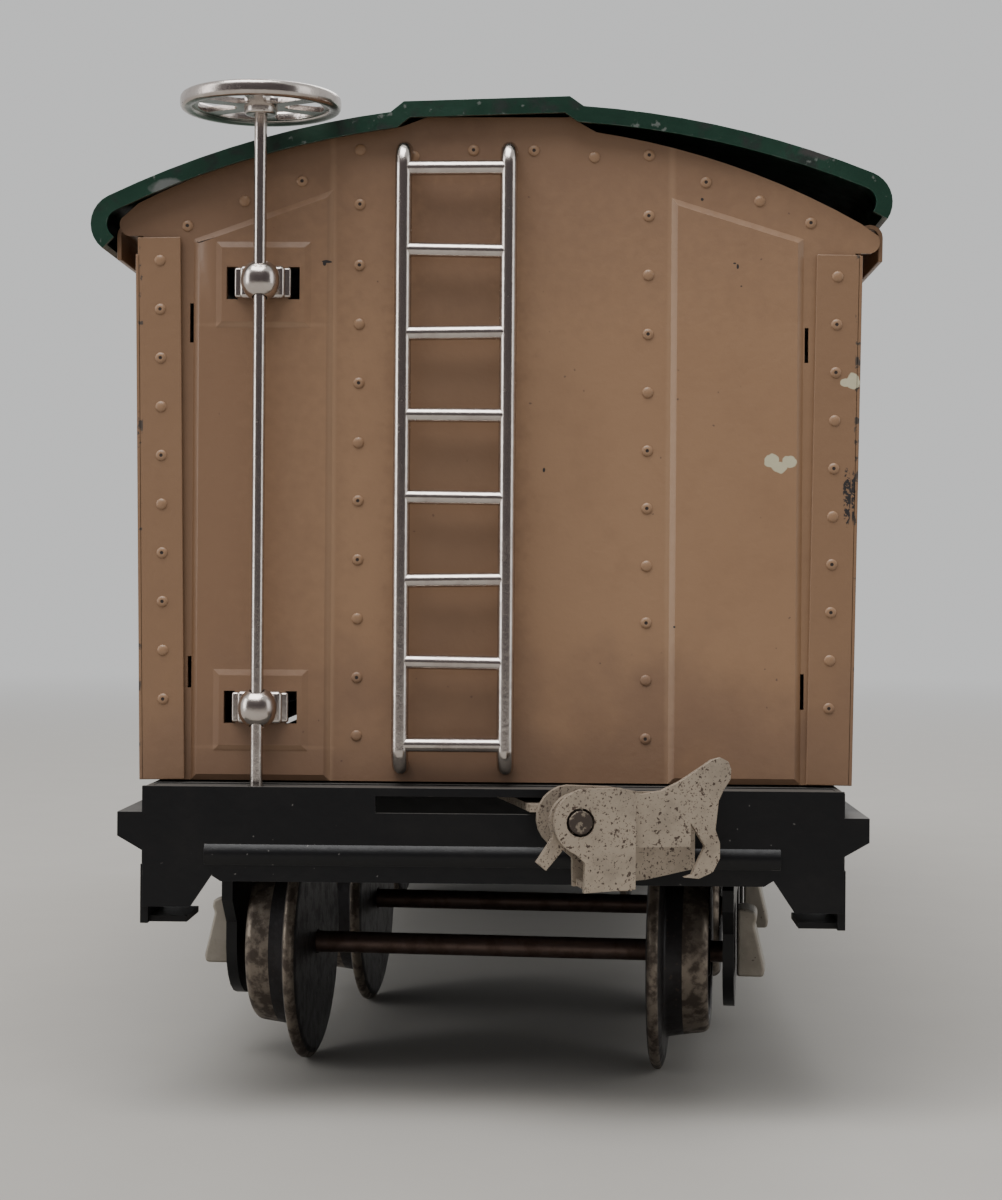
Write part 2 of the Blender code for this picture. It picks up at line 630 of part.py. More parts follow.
def latch():
    """The latch: a disc on the rivet, a finger plate that rises, and a hook that drops."""
    outline = cheek_disc(0, LATCH_DISC, -60, -110, 3)
    outline += [(-1.8, -3.4), (-4.0, -6.0), (-5.2, -5.0), (-3.2, -2.0)]
    outline += cheek_disc(0, LATCH_DISC, -155, -290, 9)
    outline += [(6.0, 3.9), (8.1, 3.3), (10.6, 3.7), (13.1, 4.9), (15.6, 6.5), (17.1, 7.5)]
    outline += [(18.2, 7.8), (19.2, 7.3), (19.6, 6.3), (19.5, 5.05), (18.6, 3.7), (18.0, 2.4),
                (17.6, -1.2), (18.2, -2.9), (18.2, -4.8), (17.3, -6.5), (15.5, -7.3), (13.6, -7.1)]
    outline += [(14.6, -6.8), (16.3, -3.3), (14.4, -0.3), (14.4, -3.3), (7.4, -3.3)]
    low, high = (y - LATCH[0] for y in LATCH)
    plate = extruded([outline], "Y", low, high)
    return cut(plate, moved(rod(CHEEK_HOLE, -5, 5), turn=(HALF_TURN / 2, "X")))


def latch_spring():
    """The spring wound round the rivet behind the latch."""
    low, high = LATCH[1] - LATCH[0] + 0.75, REAR_CHEEK[0] - LATCH[0] - 0.75
    steps = int(SPRING_TURNS * 8)
    path = []
    for i in range(steps + 1):
        turn = 2 * math.pi * SPRING_TURNS * i / steps
        path.append((SPRING_RADIUS * math.cos(turn), low + (high - low) * i / steps,
                     SPRING_RADIUS * math.sin(turn)))
    return tube(path, SPRING_WIRE)


def coupler(end, parent):
    axis = carrier(end + "_coupler_axis", parent, (0, DRAWBAR_Y, 0), SWING)
    piece(end + "_drawbar", drawbar(), WORN_NICKEL, axis)
    pin = [(0, 44.1), (1.8, 44.1), (2.4, 43.6), (2.4, 43.3), (DRAWBAR_PIN, 43.3),
           (DRAWBAR_PIN, 40.1), (2.6, 40.1), (2.6, 39.2), (0, 39.2)]
    piece(end + "_drawbar_rivet", turned(pin, 16), DARK_STEEL, axis)
    hook = carrier(end + "_latch_axis", axis, (0, LATCH[0], HEAD_Z))
    piece(end + "_latch", latch(), WORN_NICKEL, hook)
    piece(end + "_latch_spring", latch_spring(), DARK_STEEL, hook)
    front = FRONT_CHEEK[0] - LATCH[0] - 0.2
    back = REAR_CHEEK[1] - LATCH[0]
    rivet = [(0, back + 0.9), (1.6, back + 0.9), (2.4, back + 0.5), (2.4, back + 0.2),
             (LATCH_PIN, back + 0.2), (LATCH_PIN, front), (0, front)]
    piece(end + "_latch_rivet", moved(turned(rivet, 16), turn=(-HALF_TURN / 2, "X")), DARK_STEEL, hook)


# The car


def build():
    underframe()
    roof()
    for end, turn in (("front", 0.0), ("rear", HALF_TURN)):
        group = carrier(end + "_end", turn=turn)
        end_panel(end + "_end_panel", group)
        ladder(end + "_ladder", group)
        brake_staff(end, group)
        truck(end, group, 1 if turn == 0.0 else -1)
        coupler(end, group)
    for side, turn in (("right", 0.0), ("left", HALF_TURN)):
        foot = Vector((PANEL_OUTSIDE, 0, PANEL_FOOT))
        group = carrier(side + "_side", carrier(side + "_turn", turn=turn),
                        foot - Matrix.Rotation(LEAN, 3, "Y") @ foot)
        group.rotation_euler = (0.0, LEAN, 0.0)
        side_panel(side + "_side_panel", group)
        ends = ("front", "rear") if turn == 0.0 else ("rear", "front")
        corner_flange(f"{side}_{ends[0]}_corner_flange", group, -BODY_END, FLANGE_TOPS[1])
        corner_flange(f"{side}_{ends[1]}_corner_flange", group, BODY_END - SHEET, FLANGE_TOPS[0])
        lower_rail(side + "_lower_door_rail", group)
        for way in (-1, 1):
            toward_front = (way < 0) == (turn == 0.0)
            label = "front" if toward_front else "rear"
            door(f"{side}_{label}_door", group, way)


build()
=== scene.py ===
# %% [markdown]
# # Finishing a tinplate freight car
#
# The mechanism is already built: a frame of plain solids that says where every piece is and how it
# moves. This lesson gives those solids their finish. Pressed sheet gets its raised fields, rivets
# and soft edges, bar and wire become round, and every metal and enamel gets its own material.
# Lengths are in metres, so MM turns the millimetres that a tinsmith would use into metres.

# %% Load the frame
import json
import math

import bpy
from mathutils import Matrix, Vector


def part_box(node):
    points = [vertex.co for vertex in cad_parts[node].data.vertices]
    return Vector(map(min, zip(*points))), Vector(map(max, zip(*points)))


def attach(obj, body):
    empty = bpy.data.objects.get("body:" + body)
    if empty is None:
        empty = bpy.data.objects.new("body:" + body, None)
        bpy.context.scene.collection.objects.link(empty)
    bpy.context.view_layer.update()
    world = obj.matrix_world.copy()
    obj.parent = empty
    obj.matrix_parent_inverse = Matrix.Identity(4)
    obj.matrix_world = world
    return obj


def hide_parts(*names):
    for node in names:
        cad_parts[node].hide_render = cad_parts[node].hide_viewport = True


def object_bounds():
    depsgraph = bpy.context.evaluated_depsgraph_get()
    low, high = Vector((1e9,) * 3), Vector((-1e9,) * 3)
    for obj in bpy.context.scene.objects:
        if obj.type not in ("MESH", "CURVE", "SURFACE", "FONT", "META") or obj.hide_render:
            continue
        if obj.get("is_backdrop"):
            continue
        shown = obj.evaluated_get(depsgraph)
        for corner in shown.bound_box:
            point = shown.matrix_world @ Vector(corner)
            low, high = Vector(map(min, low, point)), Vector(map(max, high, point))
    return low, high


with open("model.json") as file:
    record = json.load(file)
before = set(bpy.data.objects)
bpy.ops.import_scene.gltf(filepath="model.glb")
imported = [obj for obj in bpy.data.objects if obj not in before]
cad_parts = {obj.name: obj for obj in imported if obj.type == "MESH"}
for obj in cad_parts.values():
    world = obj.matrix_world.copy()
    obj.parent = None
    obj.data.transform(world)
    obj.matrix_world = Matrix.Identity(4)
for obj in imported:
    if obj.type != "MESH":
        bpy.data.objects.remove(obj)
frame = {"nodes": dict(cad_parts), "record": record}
cad_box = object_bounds()
MM = 0.001

# %% [markdown]
# ## The stage
#
# The car stands on a pale floor. A floor that simply stops would show its edge, and a wall behind
# the car would hide it from other sides, so the floor's own material fades into the colour of the
# air around it as it gets further from the car.

# %% The floor and the air
AIR = (0.70, 0.705, 0.705)
FLOOR = (0.345, 0.328, 0.303)
FADE_NEAR, FADE_FAR = 0.25, 1.7


def nodes_of(material):
    """A material's node tree, its shader and its output."""
    material.use_nodes = True
    tree = material.node_tree
    return tree, tree.nodes["Principled BSDF"], tree.nodes["Material Output"]


def add_node(tree, kind, place=(0, 0), **settings):
    """A node with its sockets (From_Min is From Min) and its other settings filled in."""
    made = tree.nodes.new(kind)
    made.location = place
    for name, value in settings.items():
        socket = name.replace("_", " ")
        if socket in made.inputs:
            made.inputs[socket].default_value = value
        else:
            setattr(made, name, value)
    return made


def connect(tree, *pairs):
    """Links each pair of sockets, from an output to an input."""
    for source, target in pairs:
        tree.links.new(source, target)


FLOOR_RADIUS = 30
bpy.ops.object.select_all(action="DESELECT")
bpy.ops.mesh.primitive_circle_add(vertices=96, radius=FLOOR_RADIUS, fill_type="NGON")
floor = bpy.context.object
floor.name = "floor"
paper = bpy.data.materials.new("floor_paper")
tree, shader, output = nodes_of(paper)
coordinate = add_node(tree, "ShaderNodeTexCoord", (-900, 0))
length = add_node(tree, "ShaderNodeVectorMath", (-700, 0), operation="LENGTH")
fade = add_node(tree, "ShaderNodeMapRange", (-500, 0), interpolation_type="SMOOTHSTEP",
                From_Min=FADE_NEAR, From_Max=FADE_FAR)
grain = add_node(tree, "ShaderNodeTexNoise", (-700, -250), Scale=55.0, Detail=6.0)
tint = add_node(tree, "ShaderNodeMix", (-450, -250), data_type="RGBA")
tint.inputs[6].default_value = (*(c * 0.93 for c in FLOOR), 1)
tint.inputs[7].default_value = (*FLOOR, 1)
air_light = add_node(tree, "ShaderNodeEmission", (0, -300), Color=(*AIR, 1))
blend = add_node(tree, "ShaderNodeMixShader", (250, 0))
shader.inputs["Roughness"].default_value = 0.85
connect(tree,
        (coordinate.outputs["Object"], length.inputs[0]),
        (coordinate.outputs["Object"], grain.inputs["Vector"]),
        (length.outputs["Value"], fade.inputs["Value"]),
        (grain.outputs["Fac"], tint.inputs["Factor"]),
        (tint.outputs[2], shader.inputs["Base Color"]),
        (fade.outputs["Result"], blend.inputs["Fac"]),
        (shader.outputs["BSDF"], blend.inputs[1]),
        (air_light.outputs["Emission"], blend.inputs[2]),
        (blend.outputs["Shader"], output.inputs["Surface"]))
floor.data.materials.append(paper)
floor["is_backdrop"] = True

air = bpy.data.worlds.new("studio_air")
air.use_nodes = True
air.node_tree.nodes["Background"].inputs["Color"].default_value = (*AIR, 1)
bpy.context.scene.world = air

# %% [markdown]
# ## Light
#
# One wide softbox hangs above and to the left, so the top of every bar and bead catches it, and
# two tall panels stand at the sides to draw bright edges down the nickel posts. A black card
# behind the camera gives the nickel its dark middle: metal shows what it faces.

# %% Softboxes and the black card
LIGHTS = {
    "overhead_softbox": ((-0.2, -0.5, 1.05), (0.9, 0.8), 15.5),
    "left_panel": ((-0.95, -0.42, 0.3), (0.35, 0.9), 3.4),
    "right_panel": ((0.95, -0.45, 0.3), (0.35, 0.9), 1.2),
    "rear_softbox": ((0.3, 0.95, 0.95), (0.9, 0.7), 7.0),
}
AIM = Vector((0.0, -0.05, 0.06))
for name, (place, size, power) in LIGHTS.items():
    light = bpy.data.lights.new(name, "AREA")
    light.shape = "RECTANGLE"
    light.size, light.size_y = size
    light.energy = power
    lamp = bpy.data.objects.new(name, light)
    bpy.context.scene.collection.objects.link(lamp)
    lamp.location = place
    lamp.rotation_euler = (AIM - Vector(place)).to_track_quat("-Z", "Y").to_euler()

CARD_PLACE, CARD_SIZE = (0.0, -0.8, 0.3), (2.2, 0.9)
bpy.ops.mesh.primitive_plane_add(size=1.0, location=CARD_PLACE,
                                 rotation=(math.radians(90), 0, 0))
card = bpy.context.object
card.name = "black_card"
card.scale = (*CARD_SIZE, 1)
card.visible_camera = False
card.visible_diffuse = False
card.visible_shadow = False
flag = bpy.data.materials.new("black_cloth")
nodes_of(flag)[1].inputs["Base Color"].default_value = (0.045, 0.033, 0.037, 1)
card.data.materials.append(flag)
card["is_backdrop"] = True

# %% [markdown]
# The camera looks at the end wall nearly square on, from a hand's height above the floor, and is
# turned by a degree or two as a hand-held one would be.

# %% The camera, at the height of the body's middle and square to the end wall
LENS, SENSOR = 69.0, 36.0
CAMERA_PLACE = (0.0096, -0.4534, 0.0674)
YAW, ROLL = math.radians(1.67), math.radians(0.4)
camera = bpy.data.cameras.new("camera")
camera.lens = LENS
camera.sensor_width = SENSOR
viewer = bpy.data.objects.new("camera", camera)
bpy.context.scene.collection.objects.link(viewer)
turn = Matrix.Rotation(YAW, 4, "Z") @ Matrix.Rotation(math.radians(90), 4, "X")
viewer.matrix_world = Matrix.Translation(CAMERA_PLACE) @ turn @ Matrix.Rotation(ROLL, 4, "Z")
bpy.context.scene.camera = viewer

# %% [markdown]
# ## Shared effects
#
# Mottling, chips, pits and a darkening towards the bottom come back on every finish of an old toy,
# in other colours and sizes. Each effect is a node group that gives a mask from 0 to 1, and each
# material decides what the mask does. The groups read Object coordinates, which stay on the metal
# when the piece moves.

# %% Node groups for mottling, pits and darkening towards the bottom


def new_group(name, inputs, outputs):
    """A node group with its sockets, and the nodes that stand for them inside it."""
    group = bpy.data.node_groups.new(name, "ShaderNodeTree")
    for label, kind, value in inputs:
        socket = group.interface.new_socket(label, in_out="INPUT", socket_type=kind)
        if value is not None:
            socket.default_value = value
    for label, kind in outputs:
        group.interface.new_socket(label, in_out="OUTPUT", socket_type=kind)
    inside = group.nodes.new("NodeGroupInput")
    outside = group.nodes.new("NodeGroupOutput")
    inside.location, outside.location = (-900, 0), (600, 0)
    return group, inside, outside


FLOAT, VECTOR = "NodeSocketFloat", "NodeSocketVector"

mottle, inside, outside = new_group(
    "mottle", [("Vector", VECTOR, None), ("Scale", FLOAT, 300.0), ("Low", FLOAT, 0.4),
               ("High", FLOAT, 0.6)], [("Mask", FLOAT)])
cloud = add_node(mottle, "ShaderNodeTexNoise", (-600, 0), Detail=5.0, Roughness=0.6)
window = add_node(mottle, "ShaderNodeMapRange", (-300, 0), interpolation_type="SMOOTHSTEP")
connect(mottle,
        (inside.outputs["Vector"], cloud.inputs["Vector"]),
        (inside.outputs["Scale"], cloud.inputs["Scale"]),
        (cloud.outputs["Fac"], window.inputs["Value"]),
        (inside.outputs["Low"], window.inputs["From Min"]),
        (inside.outputs["High"], window.inputs["From Max"]),
        (window.outputs["Result"], outside.inputs["Mask"]))

# Pits are small ragged spots: the cells of a Voronoi texture whose centre is near, kept only
# where a second, larger noise allows them, so they gather in patches.
pits, inside, outside = new_group(
    "pits", [("Vector", VECTOR, None), ("Scale", FLOAT, 900.0), ("Size", FLOAT, 0.25),
             ("Patch Scale", FLOAT, 120.0), ("Patch", FLOAT, 0.5)], [("Mask", FLOAT)])
warp = add_node(pits, "ShaderNodeTexNoise", (-800, -200), Scale=1500.0)
shake = add_node(pits, "ShaderNodeVectorMath", (-620, -200), operation="SCALE", Scale=0.0005)
bent = add_node(pits, "ShaderNodeVectorMath", (-450, 0), operation="ADD")
cells = add_node(pits, "ShaderNodeTexVoronoi", (-300, 0))
spot = add_node(pits, "ShaderNodeMapRange", (-100, 0), From_Min=0.05, To_Min=1.0, To_Max=0.0)
patch = add_node(pits, "ShaderNodeTexNoise", (-300, -300), Detail=3.0)
allow = add_node(pits, "ShaderNodeMath", (-100, -300), operation="GREATER_THAN")
both = add_node(pits, "ShaderNodeMath", (150, 0), operation="MULTIPLY")
connect(pits,
        (inside.outputs["Vector"], warp.inputs["Vector"]),
        (warp.outputs["Color"], shake.inputs[0]),
        (inside.outputs["Vector"], bent.inputs[0]),
        (shake.outputs["Vector"], bent.inputs[1]),
        (bent.outputs["Vector"], cells.inputs["Vector"]),
        (inside.outputs["Scale"], cells.inputs["Scale"]),
        (cells.outputs["Distance"], spot.inputs["Value"]),
        (inside.outputs["Size"], spot.inputs["From Max"]),
        (inside.outputs["Vector"], patch.inputs["Vector"]),
        (inside.outputs["Patch Scale"], patch.inputs["Scale"]),
        (patch.outputs["Fac"], allow.inputs[0]),
        (inside.outputs["Patch"], allow.inputs[1]),
        (spot.outputs["Result"], both.inputs[0]),
        (allow.outputs["Value"], both.inputs[1]),
        (both.outputs["Value"], outside.inputs["Mask"]))

# A mask that darkens the body towards its bottom: it grows from High down to Low, and noise breaks
# its edge.
low_darkening, inside, outside = new_group(
    "low_darkening", [("Vector", VECTOR, None), ("Low", FLOAT, 0.043), ("High", FLOAT, 0.075)],
    [("Mask", FLOAT)])
split = add_node(low_darkening, "ShaderNodeSeparateXYZ", (-700, 0))
ragged = add_node(low_darkening, "ShaderNodeTexNoise", (-700, -250), Scale=90.0, Detail=6.0)
lift = add_node(low_darkening, "ShaderNodeMath", (-500, -250), operation="MULTIPLY_ADD")
lift.inputs[1].default_value = 0.05
lift.inputs[2].default_value = -0.025
height = add_node(low_darkening, "ShaderNodeMath", (-320, 0), operation="ADD")
ramp = add_node(low_darkening, "ShaderNodeMapRange", (-100, 0), interpolation_type="SMOOTHSTEP",
                To_Min=1.0, To_Max=0.0)
connect(low_darkening,
        (inside.outputs["Vector"], split.inputs[0]),
        (inside.outputs["Vector"], ragged.inputs["Vector"]),
        (ragged.outputs["Fac"], lift.inputs[0]),
        (split.outputs["Z"], height.inputs[0]),
        (lift.outputs["Value"], height.inputs[1]),
        (height.outputs["Value"], ramp.inputs["Value"]),
        (inside.outputs["Low"], ramp.inputs["From Min"]),
        (inside.outputs["High"], ramp.inputs["From Max"]),
        (ramp.outputs["Result"], outside.inputs["Mask"]))

# %% [markdown]
# A finish starts as one colour. Each layer then names a mask, the colour it lays there and, if it
# matters, how rough or metallic that place is. Layers made later cover the ones before.

# %% A small kit that lays colours over a base, mask by mask


class Finish:
    """A Principled material under construction: a base colour, and layers laid on it by masks."""

    def __init__(self, name, colour, roughness, metallic=0.0, coat=0.0):
        self.material = bpy.data.materials.new(name)
        self.tree, self.shader = nodes_of(self.material)[:2]
        self.shader.inputs["Base Color"].default_value = (*colour, 1.0)
        self.shader.inputs["Roughness"].default_value = roughness
        self.shader.inputs["Metallic"].default_value = metallic
        self.shader.inputs["Coat Weight"].default_value = coat
        self.shader.inputs["Coat Roughness"].default_value = 0.12
        self.place = add_node(self.tree, "ShaderNodeTexCoord", (-1500, 0)).outputs["Object"]
        self.colour = (*colour, 1.0)
        self.channels = {"Roughness": roughness, "Metallic": metallic}
        self.column = -900

    def mask(self, group, **values):
        """One of the shared effects, with its own values where the group's don't fit."""
        made = add_node(self.tree, "ShaderNodeGroup", (self.column - 300, -300), node_tree=group)
        self.tree.links.new(self.place, made.inputs["Vector"])
        for label, value in values.items():
            made.inputs[label.replace("_", " ")].default_value = value
        self.column += 60
        return made.outputs["Mask"]

    def product(self, first, second):
        """A mask weakened by a number, or kept only where a second mask allows it."""
        made = add_node(self.tree, "ShaderNodeMath", (self.column, -500), operation="MULTIPLY")
        self.tree.links.new(first, made.inputs[0])
        if isinstance(second, float):
            made.inputs[1].default_value = second
        else:
            self.tree.links.new(second, made.inputs[1])
        return made.outputs["Value"]

    def layer(self, mask, colour, strength=1.0, roughness=None, metallic=None):
        """Lays a colour over what is there, and turns the roughness or metal to its own value."""
        if strength < 1.0:
            mask = self.product(mask, strength)
        made = add_node(self.tree, "ShaderNodeMix", (self.column, 200), data_type="RGBA")
        self.tree.links.new(mask, made.inputs["Factor"])
        if isinstance(self.colour, tuple):
            made.inputs[6].default_value = self.colour
        else:
            self.tree.links.new(self.colour, made.inputs[6])
        made.inputs[7].default_value = (*colour, 1.0)
        self.colour = made.outputs[2]
        self.tree.links.new(self.colour, self.shader.inputs["Base Color"])
        for label, value in (("Roughness", roughness), ("Metallic", metallic)):
            if value is None:
                continue
            mixed = add_node(self.tree, "ShaderNodeMix", (self.column, -100), data_type="FLOAT")
            self.tree.links.new(mask, mixed.inputs["Factor"])
            before = self.channels[label]
            if isinstance(before, float):
                mixed.inputs[2].default_value = before
            else:
                self.tree.links.new(before, mixed.inputs[2])
            mixed.inputs[3].default_value = value
            self.channels[label] = mixed.outputs[0]
            self.tree.links.new(mixed.outputs[0], self.shader.inputs[label])
        self.column += 120

    def spread(self, group, colour, strength=1.0, roughness=None, metallic=None, **values):
        """Lays a colour wherever one of the shared effects puts it."""
        self.layer(self.mask(group, **values), colour, strength, roughness, metallic)

    def texture(self, scale, strength, distance=0.0002):
        """A fine unevenness that only bends the light."""
        noise = add_node(self.tree, "ShaderNodeTexNoise", (-700, -700), Scale=scale, Detail=4.0)
        bump = add_node(self.tree, "ShaderNodeBump", (-450, -700), Strength=strength,
                        Distance=distance)
        connect(self.tree,
                (self.place, noise.inputs["Vector"]),
                (noise.outputs["Fac"], bump.inputs["Height"]),
                (bump.outputs["Normal"], self.shader.inputs["Normal"]))

    def near(self, centre, radius, soft=0.4):
        """A mask round one spot, with a ragged edge."""
        place = (self.column, -900)
        shift = add_node(self.tree, "ShaderNodeVectorMath", place, operation="SUBTRACT")
        shift.inputs[1].default_value = centre
        size = add_node(self.tree, "ShaderNodeVectorMath", place, operation="MULTIPLY")
        size.inputs[1].default_value = [1 / r for r in radius]
        far = add_node(self.tree, "ShaderNodeVectorMath", place, operation="LENGTH")
        rough = add_node(self.tree, "ShaderNodeTexNoise", (self.column, -1100), Scale=700.0)
        total = add_node(self.tree, "ShaderNodeMath", place, operation="ADD")
        edge = add_node(self.tree, "ShaderNodeMapRange", place, From_Min=1.5,
                        From_Max=1.5 + soft, To_Min=1.0, To_Max=0.0)
        connect(self.tree,
                (self.place, shift.inputs[0]),
                (shift.outputs["Vector"], size.inputs[0]),
                (size.outputs["Vector"], far.inputs[0]),
                (self.place, rough.inputs["Vector"]),
                (far.outputs["Value"], total.inputs[0]),
                (rough.outputs["Fac"], total.inputs[1]),
                (total.outputs["Value"], edge.inputs["Value"]))
        return edge.outputs["Result"]

    def facing_up(self, low, high):
        """A mask on faces that look up, where dust lies."""
        normal = add_node(self.tree, "ShaderNodeNewGeometry", (-1500, -400))
        split_up = add_node(self.tree, "ShaderNodeSeparateXYZ", (-1300, -400))
        ramp_up = add_node(self.tree, "ShaderNodeMapRange", (-1100, -400), From_Min=low,
                           From_Max=high)
        self.tree.links.new(normal.outputs["Normal"], split_up.inputs[0])
        self.tree.links.new(split_up.outputs["Z"], ramp_up.inputs["Value"])
        return ramp_up.outputs["Result"]


# %% [markdown]
# ## Enamels
#
# The body is a warm tan stove enamel, gone uneven and darker towards the frame. It carries fine
# dark specks, and the front has lost two flakes down to cream primer.

# %% Body enamel
TAN = (0.226, 0.128, 0.068)
PALE_TAN = (0.252, 0.148, 0.081)


def body_finish(name):
    """Tan enamel with its mottling, its darkening towards the bottom, and specks."""
    made = Finish(name, TAN, 0.42, coat=0.1)
    made.spread(mottle, PALE_TAN, 0.55, Scale=22.0, Low=0.35, High=0.7)
    made.spread(mottle, (0.180, 0.097, 0.049), 0.3, roughness=0.5, Scale=150.0, Low=0.45, High=0.75)
    # The body is laid darker towards its bottom.
    made.spread(low_darkening, (0.105, 0.055, 0.034), 0.55, roughness=0.62, Low=0.042, High=0.066)
    made.spread(pits, (0.06, 0.03, 0.022), 0.7, roughness=0.7, Scale=430.0, Size=0.075,
                Patch_Scale=60.0, Patch=0.55)
    made.texture(900.0, 0.25)
    return made


panel_enamel = body_finish("body_enamel_panel")

rivet_enamel = body_finish("body_enamel_rivet")
# Many rivets have a burst blister in their middle, where the tin shows dark.
rivet_pit = Finish("rivet_pit", (0.022, 0.013, 0.01), 0.75)

end_enamel = body_finish("body_enamel_end")
CREAM = (0.40, 0.365, 0.25)
BLACK_CHIP = (0.012, 0.009, 0.009)
WALL_Y = -0.1498


def chips(finish, spots, colour, y=WALL_Y):
    """Small flakes: each spot is x, z and the two radii, in millimetres."""
    for x, z, radius_x, radius_z in spots:
        finish.layer(finish.near((x * MM, y, z * MM), (radius_x * MM, 0.004, radius_z * MM), 0.12),
                     colour, roughness=0.65)


# Painted shade: the wall is laid a tone darker behind the ladder, under the roof's overhang and
# towards its left edge.
end_enamel.layer(end_enamel.near((-0.0054, WALL_Y, 0.082), (0.0066, 0.01, 0.044), 0.5),
                 (0.15, 0.078, 0.042), 0.42, roughness=0.55)
end_enamel.layer(end_enamel.near((0.0, WALL_Y, 0.140), (0.052, 0.01, 0.017), 1.3),
                 (0.13, 0.068, 0.038), 0.5, roughness=0.55)
end_enamel.layer(end_enamel.near((-0.046, WALL_Y, 0.085), (0.012, 0.01, 0.06), 1.3),
                 (0.14, 0.075, 0.041), 0.6)
# Painted highlights: a paler tan is laid in lines along the crests of the fields and the bottom
# edges of the pads.
for x, z, reach_x, reach_z in ((22.95, 82.0, 0.4, 38.0), (-21.85, 82.0, 0.35, 38.0),
                               (-30.9, 103.6, 5.4, 0.25), (-30.9, 47.7, 5.4, 0.25)):
    crest_highlight = end_enamel.near((x * MM, WALL_Y, z * MM), (reach_x * MM, 0.004, reach_z * MM), 0.9)
    end_enamel.layer(crest_highlight, (0.33, 0.21, 0.125), 0.26)
chips(end_enamel, ((36.2, 85.95, 0.95, 0.8), (38.5, 85.9, 0.9, 0.8), (37.3, 85.1, 1.0, 0.7)), CREAM)
chips(end_enamel, ((-22.6, 112.0, 0.55, 0.16), (-22.9, 111.75, 0.2, 0.3), (31.6, 111.5, 0.14, 0.3),
                   (31.2, 111.9, 0.2, 0.12), (32.1, 108.9, 0.14, 0.1), (6.3, 84.6, 0.14, 0.25),
                   (23.6, 64.0, 0.12, 0.12), (26.9, 120.4, 0.2, 0.2)), BLACK_CHIP)

side_enamel = body_finish("body_enamel_side")
side_enamel.spread(mottle, (0.15, 0.082, 0.043), 0.5, Scale=12.0, Low=0.0, High=0.45)
EDGE_Y = -0.1505
chips(side_enamel, ((45.9, 96.25, 0.75, 0.5), (46.8, 96.4, 0.8, 1.0)), CREAM, EDGE_Y)
# A scuff broken into crumbs, and a worn line down each folded corner.
for x, reach, height in ((0.0461, 0.00045, 0.0815), (0.0469, 0.0002, 0.0815)):
    scuff = side_enamel.product(
        side_enamel.near((x, EDGE_Y, height), (reach, 0.004, 0.0033), 0.3),
        side_enamel.mask(mottle, Scale=1500.0, Low=0.42, High=0.48))
    side_enamel.layer(scuff, BLACK_CHIP, roughness=0.7)
for x in (-0.0472, 0.0474):
    worn = side_enamel.product(
        side_enamel.near((x, EDGE_Y, 0.08), (0.0003, 0.004, 0.036), 0.5),
        side_enamel.mask(mottle, Scale=420.0, Low=0.56, High=0.60))
    side_enamel.layer(worn, (0.03, 0.024, 0.02), 0.9, roughness=0.7)

# %% [markdown]
# The roof is dark green and the frame near black, both glossier than the body. Their edges get
# materials of their own, which the bevels put on the narrow faces they make: worn on both, and on
# the roof also a paler green as a painted highlight.

# %% Roof enamel, frame enamel
roof_enamel = Finish("roof_enamel", (0.005, 0.026, 0.015), 0.3, coat=0.2)
roof_enamel.spread(mottle, (0.008, 0.040, 0.024), 0.7, roughness=0.38, Scale=60.0, Low=0.4,
                   High=0.7)
roof_enamel.spread(mottle, (0.004, 0.008, 0.006), 0.75, roughness=0.5, Scale=300.0, Low=0.50,
                   High=0.66)
roof_enamel.spread(mottle, (0.12, 0.13, 0.12), 0.6, roughness=0.5, Scale=700.0, Low=0.63, High=0.68)
roof_enamel.layer(roof_enamel.near((-0.0433, -0.152, 0.1215), (0.0018, 0.003, 0.0009)),
                  (0.15, 0.155, 0.15), 0.8, roughness=0.45, metallic=0.5)
roof_enamel.layer(roof_enamel.near((0.0424, -0.152, 0.1265), (0.0021, 0.003, 0.0011)),
                  (0.055, 0.052, 0.05), 0.9, roughness=0.45, metallic=0.5)
roof_enamel.texture(350.0, 0.35, 0.0004)

# Painted highlight and wear: the rolled edges are laid a paler green, and grey tin comes through in
# crumbs.
roof_rim_sheen_and_wear = Finish("roof_enamel_rim_sheen_and_wear", (0.012, 0.062, 0.043), 0.36, coat=0.2)
roof_rim_sheen_and_wear.spread(mottle, (0.10, 0.135, 0.12), 0.8, roughness=0.5, Scale=420.0, Low=0.55, High=0.62)
roof_rim_sheen_and_wear.spread(mottle, (0.26, 0.27, 0.25), 0.8, roughness=0.45, metallic=0.4, Scale=900.0,
                 Low=0.62, High=0.66)
roof_rim_sheen_and_wear.texture(500.0, 0.4, 0.0004)

frame_enamel = Finish("frame_enamel", (0.0028, 0.0029, 0.0036), 0.38)
frame_enamel.shader.inputs["Specular IOR Level"].default_value = 0.3
frame_enamel.spread(mottle, (0.007, 0.006, 0.006), 0.6, roughness=0.42, Scale=120.0, Low=0.45,
                    High=0.75)
frame_enamel.layer(frame_enamel.facing_up(0.75, 0.95), (0.085, 0.078, 0.07), 0.75, roughness=0.7)
frame_enamel.spread(pits, (0.16, 0.15, 0.14), 0.5, Scale=700.0, Size=0.09, Patch_Scale=50.0,
                    Patch=0.55)
frame_enamel.texture(600.0, 0.25)

frame_edge = Finish("frame_enamel_edge", (0.005, 0.005, 0.006), 0.42)
frame_edge.spread(mottle, (0.13, 0.12, 0.11), 0.6, roughness=0.4, metallic=0.6, Scale=500.0,
                  Low=0.60, High=0.66)

# %% [markdown]
# ## Metals
#
# The trim is nickel plate, bright but a little tarnished. The couplers and journal boxes are the
# same plate after years of damp, dull and freckled with rust. Wheels are dark cast metal whose
# treads the rails have worn bright and brown.

